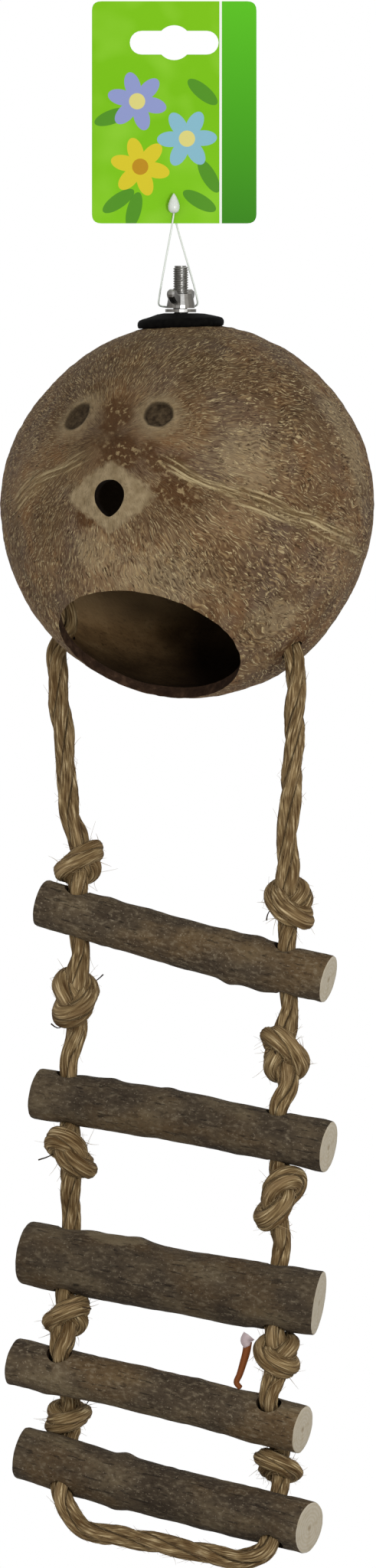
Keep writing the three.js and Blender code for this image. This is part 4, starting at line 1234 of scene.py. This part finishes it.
def nearest_patch(p, patches, seed):
    """How far points are from the nearest of some patches, with 1 at a patch's edge."""
    nearest = np.full(len(p), 3.0)
    for x, y, a, b in patches:
        at = seen(x, y)
        side, up = frame_at(at)
        far = np.hypot((p - at) @ side / a, (p - at) @ up / b) + 0.3 * mottle(p, 4, seed)
        nearest = np.minimum(nearest, np.where(p @ unit(at) > 35, far, 3))
    return nearest


def skin_marks(p):
    """How far points are from the pore's smooth skin, the reddish patches and the blind eyes.

    The first two are 1 at the mark's edge, the third is in mm beyond the eye's edge.
    """
    side, up = frame_at(PORE)
    s, h = (p - PORE) @ side, (p - PORE) @ up
    halo = np.abs(s / 14.5) ** 1.15 + np.abs(h / 10.8) ** 1.15
    halo = np.where(p @ unit(PORE) > 35, halo, 3)
    eye = np.full(len(p), 9.0)
    for at, r, tall in EYES:
        side, up = frame_at(at)
        s, h = (p - at) @ side, (p - at) @ up
        if tall > 1:
            s, h = 0.85 * s - 0.53 * h, (0.53 * s + 0.85 * h) / tall
        far = np.where(p @ unit(at) > 35, np.hypot(s, h) - r, 9)
        eye = np.minimum(eye, far + 0.3 * mottle(p, 2, 8))
    red = nearest_patch(p, REDS, 9)
    for hand in SIDES:
        at = shell_hole(hand)[0] - MIDDLE
        red = np.minimum(red, np.linalg.norm(p - at, axis=1) / 9 + 0.3 * mottle(p, 3, 5))
    return np.clip(halo, 0, 3), np.clip(red, 0, 3), np.clip(eye, -6, 9)


deep_in = -skin_marks(EYES[0][0][None])[2][0]
print("the middle of the left eye is", round(float(deep_in), 1), "mm inside its edge")

# %% [markdown]
# ## Coconut shell: fibre bundles
# Bundles of long fibres cross the front along the nut's sutures. Curves laid on the shell could show them,
# but they fray and fade at their ends, so each point of the shell is told its place across and along the
# nearest bundle.


# %% Coconut shell: fibre bundles
def seam_lines(p):
    """Across and along the nearest fibre bundle, and how strong it is there."""
    best = np.zeros((len(p), 3))
    for points, wide, strength in SEAMS:
        line = even(np.array([seen(*q) for q in points]), 24)
        run = run_along(line)
        near = np.linalg.norm(p[:, None] - line[None], axis=2).argmin(1)
        ahead = unit(np.gradient(line, axis=0))[near]
        away = p - line[near]
        along = run[near] + (away * ahead).sum(1)
        across = (away * np.cross(unit(line[near]), ahead)).sum(1) + 0.9 * mottle(p, 11, 2)
        spread = wide * (1 + 0.5 * mottle(p, 9, 6))
        here = strength * smooth(np.abs(across), spread, spread * 0.3) * smooth(along, -2, 9)
        here *= smooth(run[-1] + 4 - along, 0, 8) * (np.linalg.norm(away, axis=1) < 12)
        more = here > best[:, 2]
        best[more] = np.stack([across, along, here], axis=1)[more]
    return best


at_bend = seen(*SEAMS[0][0][1])
print("on its bend the first bundle has strength", round(float(seam_lines(at_bend[None])[0, 2]), 2))

# %% [markdown]
# ## Coconut shell: relief
# Low humps, fine roughness, raised sutures, sunk eyes and a lip round the pore go into the mesh itself.
# Sculpting could give them too, but each run of a script has to give the same nut.

# %% Coconut shell: relief
directions, quads = round_grid(132)
form = egg(directions)
halo, red, eye = skin_marks(form)
seam = seam_lines(form)[:, 2]
calm = 1 - 0.7 * np.maximum(smooth(halo, 1.1, 0.8), smooth(eye, 4, 1))
relief = 0.3 * mottle(form, 26, 1) + 0.2 * mottle(form, 9, 2)
relief += calm * (0.17 * mottle(form, 3.2, 3) + 0.12 * mottle(form, 1.6, 7))
relief += 0.4 * seam - 1.3 * smooth(eye, 0.2, -0.8) + 0.25 * np.exp(-(((eye - 0.9) / 0.9) ** 2))
lip = np.linalg.norm(form - PORE, axis=1)
relief += 0.4 * np.exp(-(((lip - 6.3) / 1.1) ** 2))
# the nut is a little flat at the upper left and the lower right of the photo
for right_mm, up_mm, deep, wide in ((-44, 38, 1.6, 20), (51, -31, 1.1, 14)):
    far = np.linalg.norm(form - seen(right_mm, up_mm), axis=1)
    relief -= deep * np.exp(-((far / wide) ** 2))
shell = mesh_of("coconut", form + unit(form) * relief[:, None] + MIDDLE, quads, [coconut, hollow, sawn])
print("the relief goes from", round(relief.min(), 1), "to", round(relief.max(), 1), "mm")

# %% [markdown]
# ## Coconut shell: cuts
# The real nut was hollowed, sawn and drilled, and its pore is open. Each of these is a closed cutter. The
# entrance was sawn by hand, so its outline waves a little, and the pore comes to a point below.

# %% Coconut shell: cuts
directions, quads = round_grid(44)
inside = egg(directions, WALL)
inside = inside + unit(inside) * (0.25 * mottle(inside, 14, 8) + 0.12 * mottle(inside, 5, 9))[:, None]
tools = [mesh_of("hollow", inside + MIDDLE, quads, [])]

a = np.linspace(0, 2 * math.pi, 220, endpoint=False)
side = unit(np.cross(ENTRANCE, (1, 0, 0)))
circle = np.stack([ENTRANCE_R * np.cos(a), ENTRANCE_R * np.sin(a), 0 * a], axis=1)
wave = ENTRANCE_R + 0.22 * mottle(circle, 4, 3)
hoop = wave[:, None] * (np.cos(a)[:, None] * side + np.sin(a)[:, None] * np.cross(ENTRANCE, side))
tools.append(hole_tool("mouth", hoop, MIDDLE + ENTRANCE * 20, MIDDLE + ENTRANCE * 90))

a = np.linspace(0, 2 * math.pi, 60, endpoint=False)
side, up = frame_at(PORE)
point = 1 + 0.28 * np.maximum(0, -np.sin(a)) ** 3
r = PORE_R + 0.15 * mottle(np.stack([5 * np.cos(a), 5 * np.sin(a), 0 * a], axis=1), 2, 5)
hoop = (r * 1.02 * np.cos(a))[:, None] * side + (r * np.sin(a) * point)[:, None] * up
tools.append(hole_tool("pore", hoop, MIDDLE + PORE - unit(PORE) * 12, MIDDLE + PORE + unit(PORE) * 12))
for hand in SIDES:
    hole, out = shell_hole(hand)
    tools.append(drill("rope_hole", ROPE_D / 2 + 0.55, hole - out * 9.2, hole + out * 9))
BOLT_HOLE_R = 3.05
tools.append(drill("bolt_hole", BOLT_HOLE_R, (0, 0, -20), (0, 0, 20)))
cut(shell, tools)
print("the cut shell has", len(shell.data.vertices), "points")

# %% [markdown]
# ## Coconut shell: data for its finish
# After the cuts the points are new, so the distances are measured again and stored on them. Faces that
# look inwards get the finish of the hollow, and those across the wall that of the sawn edge.

# %% Coconut shell: data for its finish
p = rows_of(shell.data.vertices, "co") / MM - MIDDLE
halo, red, eye = skin_marks(p)
give(shell, "marks", np.stack([halo, red, eye * MM], axis=1))
give(shell, "seam", seam_lines(p) * (MM, MM, 1))
pale, brown = (np.clip(1.4 - nearest_patch(p, patches, 12), 0, 1) for patches in (PALES, BROWNS))
give(shell, "patch", np.stack([pale, brown, 0 * pale], axis=1))
east = unit(np.cross(UP, POLE))
north = np.cross(POLE, east)
d = unit(p)
flat = np.stack([d @ east, d @ north], axis=1)
spread = np.linalg.norm(flat, axis=1, keepdims=True) + 1e-6
polar = np.arccos(np.clip(d @ POLE, -1, 1))
give(shell, "grain", np.concatenate([flat / spread * 60, polar[:, None] * 60], axis=1) * MM)
normals = rows_of(shell.data.polygons, "normal")
centres = rows_of(shell.data.polygons, "center") / MM - MIDDLE
facing = (normals * unit(centres)).sum(1)
off_axis = np.linalg.norm(centres - (centres @ ENTRANCE)[:, None] * ENTRANCE, axis=1)
on_edge = (off_axis < ENTRANCE_R + 0.6) & (centres @ ENTRANCE > 0)
for at, r in [(PORE, 8), *[(shell_hole(hand)[0] - MIDDLE, 7) for hand in SIDES]]:
    on_edge |= np.linalg.norm(centres - at, axis=1) < r
kind = np.where(facing < -0.6, 1, np.where((np.abs(facing) <= 0.6) & on_edge, 2, 0))
paint(shell, kind)
shell.data.set_sharp_from_angle(angle=math.radians(50))
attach(shell, "house")
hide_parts("coconut_shell")
print("coconut:", len(kind), "faces,", int((kind == 2).sum()), "of them sawn")

# %% [markdown]
# ## Rungs: form
# Each rung is a length of branch, slightly bowed and swollen as in the CAD part. The right ends are not
# all sawn square. A cylinder with displaced bark would bend the ends too, so rings of points are laid
# along the branch, with the bark's relief and its knobs worked out on them.

# %% Rungs: form
# swellings as share along the branch, radians round it and share of the radius
SWELLING = ((0.72, -1.4, 0.14), (0.95, 0.6, 0.06), (0.33, 1.3, 0.09), (0.86, -1.2, 0.08), (0.2, -1.5, 0.05))
END_TURN = np.radians((2.4, 2.2, 10.5, -1, -7.4))  # how far the right ends are off square
# knobs of each branch: mm along it, radians round it (0 is the back, pi/2 the top), mm wide and high
KNOBS = (
    [(17.5, -1.5, 2.2, 0.8), (29, -1.3, 3.5, 0.7), (24.5, 1.5, 3, 0.6), (-28, 1.4, 2.5, 0.5)],
    [(-6, 1.5, 2.5, 0.5), (-26, 1.4, 3, 0.4)],
    [(-30, 1.5, 3, 0.5), (-14, 1.5, 3, 0.6), (25, -1.4, 5, 0.3)],
    [(-38, -1.4, 3, 0.5), (12, 1.5, 3, 0.4)],
    [(-15.5, 1.5, 2.6, 0.9), (-15, -1.6, 3, 0.9)],
)
ROUND, ROWS = 96, 200
# from the sawn face round to the bark: mm along and share of the radius
EDGE = np.array([(0, 0.35), (0, 0.7), (0, 0.94), (0.15, 0.985), (0.6, 1.0)])
SQUEEZE = 0.6  # along the branch, so that the noise's lumps come out longer that way


def branch(i):
    """A rung before its holes are drilled, with its tilt and its middle."""
    d = RUNG_D[i]
    a = np.linspace(0, 2 * math.pi, ROUND, endpoint=False)
    middle = np.linspace(1.2, RUNG_L - 1.2, ROWS)
    xs = np.concatenate([EDGE[:, 0], middle, RUNG_L - EDGE[::-1, 0]]) - RUNG_L / 2
    share = np.concatenate([EDGE[:, 1], np.ones(ROWS), EDGE[::-1, 1]])
    u = xs / RUNG_L + 0.5
    at, turn, high = SWELLING[i]
    near = np.exp(-(((u - at) / 0.13) ** 2))[:, None] * np.maximum(0, np.cos(a - turn))
    grow = 1 + high * near - 0.02 * np.cos(2 * a + i)
    # up or down by a twentieth of its thickness
    bow = d * 0.05 * np.cos(math.pi * (u - 0.5)) * (1 if i % 2 else -1)
    ball = np.stack(np.broadcast_arrays(xs[:, None], d / 2 * np.cos(a), d / 2 * np.sin(a)), axis=2)
    flat = ball.reshape(-1, 3) * (SQUEEZE, 1, 1)
    bumps = 0.3 * mottle(flat, 11, i) + 0.2 * mottle(flat, 4, i + 20) + 0.12 * mottle(flat, 1.5, i + 40)
    for knob_at, knob_turn, wide, knob_high in KNOBS[i]:
        near_it = np.exp(-(((flat[:, 0] / SQUEEZE - knob_at) / wide) ** 2))
        bumps += knob_high * near_it * np.maximum(0, np.cos(np.arctan2(flat[:, 2], flat[:, 1]) - knob_turn))
    r = (d / 2 * grow + bumps.reshape(grow.shape)) * share[:, None]
    # only the right end is sawn aslant
    skew = math.tan(END_TURN[i]) * smooth(u, 0.86, 1)[:, None]
    side, up = r * np.cos(a), r * np.sin(a)
    points = np.stack([xs[:, None] - side * skew, side, up + bow[:, None]], axis=2)
    points = np.concatenate([points.reshape(-1, 3), [(xs[0], 0, bow[0]), (xs[-1], 0, bow[-1])]])
    c, s = math.cos(SLOPE[i]), math.sin(SLOPE[i])
    tilt = np.array(((c, 0, -s), (0, 1, 0), (s, 0, c)))
    centre = np.array((RUNG_X[i], LADDER_Y, RUNG_Z[i]))
    faces = [f[::-1] for f in tube_faces(len(xs), ROUND)]
    finishes = [bark, end_grain, drilled_wood]
    return mesh_of(f"branch_{i + 1}", points @ tilt + centre, faces, finishes), tilt, centre


print("a branch is", RUNG_L, "mm long, in", ROWS, "rings of", ROUND, "points")

# %% [markdown]
# ## Rungs: holes and finish
# Two holes are drilled through each branch for the rope, leaning as in the photo. The third rung's bark
# is rubbed off at one place, and some rungs are darker than others. Faces at the ends get the sawn finish,
# and those in the holes the drilled one.

# %% Rungs: holes and finish
RUNG_BODIES = ("rung_1", "rung_2", "rung_3", "ladder_fourth", "ladder_last")
HOLE_R = ROPE_D / 2 + 0.8
DARKER = (0.05, 0.28, 0.3, 0, 0.22)  # share of the dark film on each rung
for i, d in enumerate(RUNG_D):
    rung, tilt, centre = branch(i)
    holes = [rung_axis(i, HOLE_X[hand][i]) for hand in SIDES]
    through_it = LEAN[i] * (d + 6)
    cut(rung, [drill("drill", HOLE_R, hole - through_it, hole + through_it) for hole in holes])
    local = (rows_of(rung.data.vertices, "co") / MM - centre) @ tilt.T
    give(rung, "branch", (local + (200 * i, 0, 0)) * MM)
    # the rubbed place is 20 mm left of the middle
    off = np.hypot((local[:, 0] + 20) / 11, (np.arctan2(local[:, 2], local[:, 1]) - 1.9) / 0.45)
    worn = np.zeros((len(local), 3))
    worn[:, 0] = smooth(off, 1.4, 0.4) if i == 2 else 0
    worn[:, 1] = DARKER[i]
    give(rung, "worn", worn)
    normals = rows_of(rung.data.polygons, "normal") @ tilt.T
    centres = rows_of(rung.data.polygons, "center") / MM
    ahead = ((centres - centre) @ tilt.T)[:, 0]
    kind = np.where((np.abs(normals[:, 0]) > 0.8) & (np.abs(ahead) > RUNG_L / 2 - 3), 1, 0)
    for hole in holes:
        off = centres - hole
        off = off - (off @ LEAN[i])[:, None] * LEAN[i]
        kind = np.where(np.linalg.norm(off, axis=1) < HOLE_R + 0.02, 2, kind)
    paint(rung, kind)
    rung.data.set_sharp_from_angle(angle=math.radians(55))
    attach(rung, RUNG_BODIES[i])
    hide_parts(f"rung_{i + 1}")
    print(rung.name, len(kind), "faces,", int((kind == 1).sum()), "at the ends")

# %% [markdown]
# ## Bark curl
# A curled strip of red bark with a pink flake at its top stands beside the fourth knot on the right. It
# is a scrap a few millimetres wide, so two thick hairs do for it.

# %% Bark curl
curl = [(27.3, -330), (26.8, -333.2), (25.7, -336.9), (24.5, -340.5), (23.4, -343.2), (24.8, -345)]
line = through([(x, -12, z) for x, z in curl], 0.4)[0]
top = through([(27.6, -12, -328), (26.6, -12.3, -329.6), (27.3, -12, -331.6)], 0.4)[0]
bark_curl = hairs("bark_curl", [(line, 3.2, 2.0, 0), (top, 5.0, 3.0, 1)], [strip, flake])
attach(bark_curl, "ladder_fourth")
print("bark curl:", round(run_along(line)[-1]), "mm long")

# %% [markdown]
# ## Bolt
# An M5 stud with a rolled thread and a hex head inside the nut. A bump in the finish would leave its
# outline smooth, so the thread is cut into rings of points: a groove whose place shifts by one pitch in
# each turn.

# %% Bolt
PITCH, THREAD_DEEP, BOLT_R, BOLT_TOP = 0.8, 0.4, 2.45, 15.2
HEAD_R, HEAD_H = 4.6, 3.5
ROWS, ROUND = 210, 40
z = np.linspace(-1, BOLT_TOP, ROWS)
a = np.linspace(0, 2 * math.pi, ROUND, endpoint=False)
phase = ((z[:, None] + 1) / PITCH - a / (2 * math.pi)) % 1
groove = THREAD_DEEP * np.clip(np.abs(2 * phase - 1) * 1.35 - 0.15, 0, 1)  # flat at crest and root
tip = np.minimum(1, (BOLT_TOP - z) / PITCH)[:, None]
r = (BOLT_R - groove) * (0.8 + 0.2 * tip)
low_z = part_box("hanger_bolt")[0].z / MM
under = low_z + HEAD_H
head = np.array([(HEAD_R, low_z), (HEAD_R, under), (BOLT_R, under), (BOLT_R, -1.0)])
r = np.concatenate([np.repeat(head[:, :1], ROUND, axis=1), r])
r[:2] = HEAD_R * math.cos(math.pi / 6) / np.cos((a % (math.pi / 3)) - math.pi / 6)  # six flats
z = np.concatenate([head[:, 1], z])
points = np.stack([r * np.cos(a), r * np.sin(a), np.repeat(z[:, None], ROUND, axis=1)], axis=2)
points = np.concatenate([points.reshape(-1, 3), [(0, 0, z[0]), (0, 0, z[-1])]])
bolt = mesh_of("bolt", points, tube_faces(len(z), ROUND), [steel])
bolt.data.set_sharp_from_angle(angle=math.radians(40))
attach(bolt, "house")
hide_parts("hanger_bolt")
print("bolt:", round((BOLT_TOP + 1) / PITCH), "turns of thread")

# %% [markdown]
# ## Rubber washer
# A soft disc that follows the nut's curve where the bolt presses it down. The CAD solid is faceted, so
# the disc is turned anew from an outline, with a rounded rim, and each point is dropped by the nut's own
# fall.

# %% Rubber washer
ROUND = 96
# the outline as mm from the axis and share of the way from the nut up to the washer's top
outline = [(2.75, 1), (2.75, 0), (5, 0), (8, 0), (11, 0), (13.3, 0), (13.75, 0.15), (13.9, 0.45)]
outline += [(13.8, 0.75), (13.3, 0.95), (12.4, 1), (10, 1), (7.6, 1), (5.4, 1)]
a = np.linspace(0, 2 * math.pi, ROUND, endpoint=False)
points, faces = [], []
for j, (r, share) in enumerate(outline):
    x, y = r * np.cos(a), r * np.sin(a)
    fall = SHELL_UP * (np.sqrt(1 - ((x - MIDDLE[0]) ** 2 + (y - MIDDLE[1]) ** 2) / SHELL_R**2) - 1)
    under = MIDDLE[2] + SHELL_UP + fall + 0.25
    over = fall * smooth(r, 5, 10)
    points.append(np.stack([x, y, under + (over - under) * share * (1 - 0.1 * smooth(r, 8, 14))], axis=1))
    for k in range(ROUND):
        m, q = (k + 1) % ROUND, (j + 1) % len(outline)
        faces.append((j * ROUND + k, j * ROUND + m, q * ROUND + m, q * ROUND + k))
washer = mesh_of("rubber_disc", np.concatenate(points), faces, [rubber])
washer.data.set_sharp_from_angle(angle=math.radians(60))
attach(washer, "house")
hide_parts("rubber_washer")
print("rubber washer:", len(faces), "faces")

# %% [markdown]
# ## Steel washers and wing nut
# Pressed and plated steel with rolled edges. Their CAD shapes are good as they are. A small bevel catches
# the light on the edges, as plating does.

# %% Steel washers and wing nut
for name in ("inner_washer", "clamp_washer", "wing_nut"):
    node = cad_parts[name]
    node.data.materials.clear()
    node.data.materials.append(steel)
    node.data.shade_smooth()
    node.data.set_sharp_from_angle(angle=math.radians(35))
    soft = node.modifiers.new("soft edges", "BEVEL")
    soft.width, soft.segments, soft.angle_limit = 0.25 * MM, 2, math.radians(35)
    print(name, "keeps its", len(node.data.polygons), "faces")

# %% [markdown]
# ## Tag
# A flat card with a peg slot and an eyelet, cut out by the CAD part already. Only its print is new.

# %% Tag
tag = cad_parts["hang_tag"]
tag.data.materials.clear()
tag.data.materials.append(card)
print("card:", [round(v / MM, 1) for v in tag.dimensions], "mm")

# %% [markdown]
# ## Thread
# A clear nylon thread runs from under the nut's hub up through the card's eyelet and back. A curve with a
# bevel would look the same, but the thread is built as a mesh.

# %% Thread
THREAD_D = 0.6
foot, hub = 2.0, 5.4  # the thread's height and distance from the axis under the hub
hang, off = 33.5, 0.8  # the eyelet's height, and half the card with some room
thread_points = [
    (0.4, hub, foot),
    (hub * 0.62, hub * 0.82, foot),
    (hub * 0.98, hub * 0.45, foot + 0.8),
    (hub * 0.96, hub * 0.35, foot + 3),
    (-1.6, off, hang - 4),
    (-2.1, off * 0.94, hang - 0.35),
    (-2.1, 0, hang + 0.1),
    (-2.1, -off * 0.94, hang - 0.35),
    (-2.6, -off, hang - 4),
    (-hub * 1.28, -0.6, foot + 3),
    (-hub * 1.3, 0.2, foot + 0.8),
    (-hub * 0.85, hub * 0.75, foot),
    (-0.4, hub, foot),
]
c, s = math.cos(TURN), math.sin(TURN)
to_object = np.array(((c, s, 0), (-s, c, 0), (0, 0, 1)))
line = through(np.array(thread_points) @ to_object, 0.4)[0]


def round_thread(name, line, thick, sides=10):
    """A round thread along a line, as thick as that at each point of it."""
    ahead, side, other = carried(line)
    a = np.linspace(0, 2 * math.pi, sides, endpoint=False)
    hoop = np.cos(a)[None, :, None] * side[:, None] + np.sin(a)[None, :, None] * other[:, None]
    around = line[:, None] + hoop * np.broadcast_to(thick, len(line))[:, None, None] / 2
    points = np.concatenate([around.reshape(-1, 3), line[:1], line[-1:]])
    return mesh_of(name, points, tube_faces(len(line), sides), [nylon])


thread = round_thread("thread", line, THREAD_D)
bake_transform(thread)
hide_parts("tag_thread")
print("thread:", round(run_along(line)[-1]), "mm")

# %% [markdown]
# ## Drop at the eyelet
# The thread's ends are melted to a clear drop before the eyelet. A ball would be too round for it. The
# drop is a short thread whose thickness swells and tapers. It goes with the card.

# %% Drop at the eyelet
drop = np.linspace(0, 1, 19)
bead_line = np.stack([-2.2 + 0 * drop, -2.4 + 0 * drop, 32 + 6.4 * drop], axis=1) @ to_object
bead = round_thread("thread_knot", bead_line, 0.35 + 8.8 * drop**0.5 * (1 - drop), 20)
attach(bead, "hang_tag")
print("drop:", len(bead.data.vertices), "points")

# %% [markdown]
# ## Floor
# A plain pale floor under the ladder, far enough down for the loop to hang clear, as a backdrop would be.

# %% Floor
z = cad_low.z / MM - 60  # mm under the loop
FAR = 3000  # half its width in mm
corners = [(-FAR, -FAR, z), (FAR, -FAR, z), (FAR, FAR, z), (-FAR, FAR, z)]
# backdrop paper: matt and white
paper, _, shader = start("white backdrop paper", 0.9)
shader.inputs["Base Color"].default_value = tone("#ffffff")
mesh_of("floor", corners, [(0, 1, 2, 3)], [paper])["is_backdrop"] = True
print("floor at", round(z), "mm")

# %% Sizes and finish
low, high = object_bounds()
print("visual box in mm:", [round(v / MM, 1) for v in (*low, *high)])
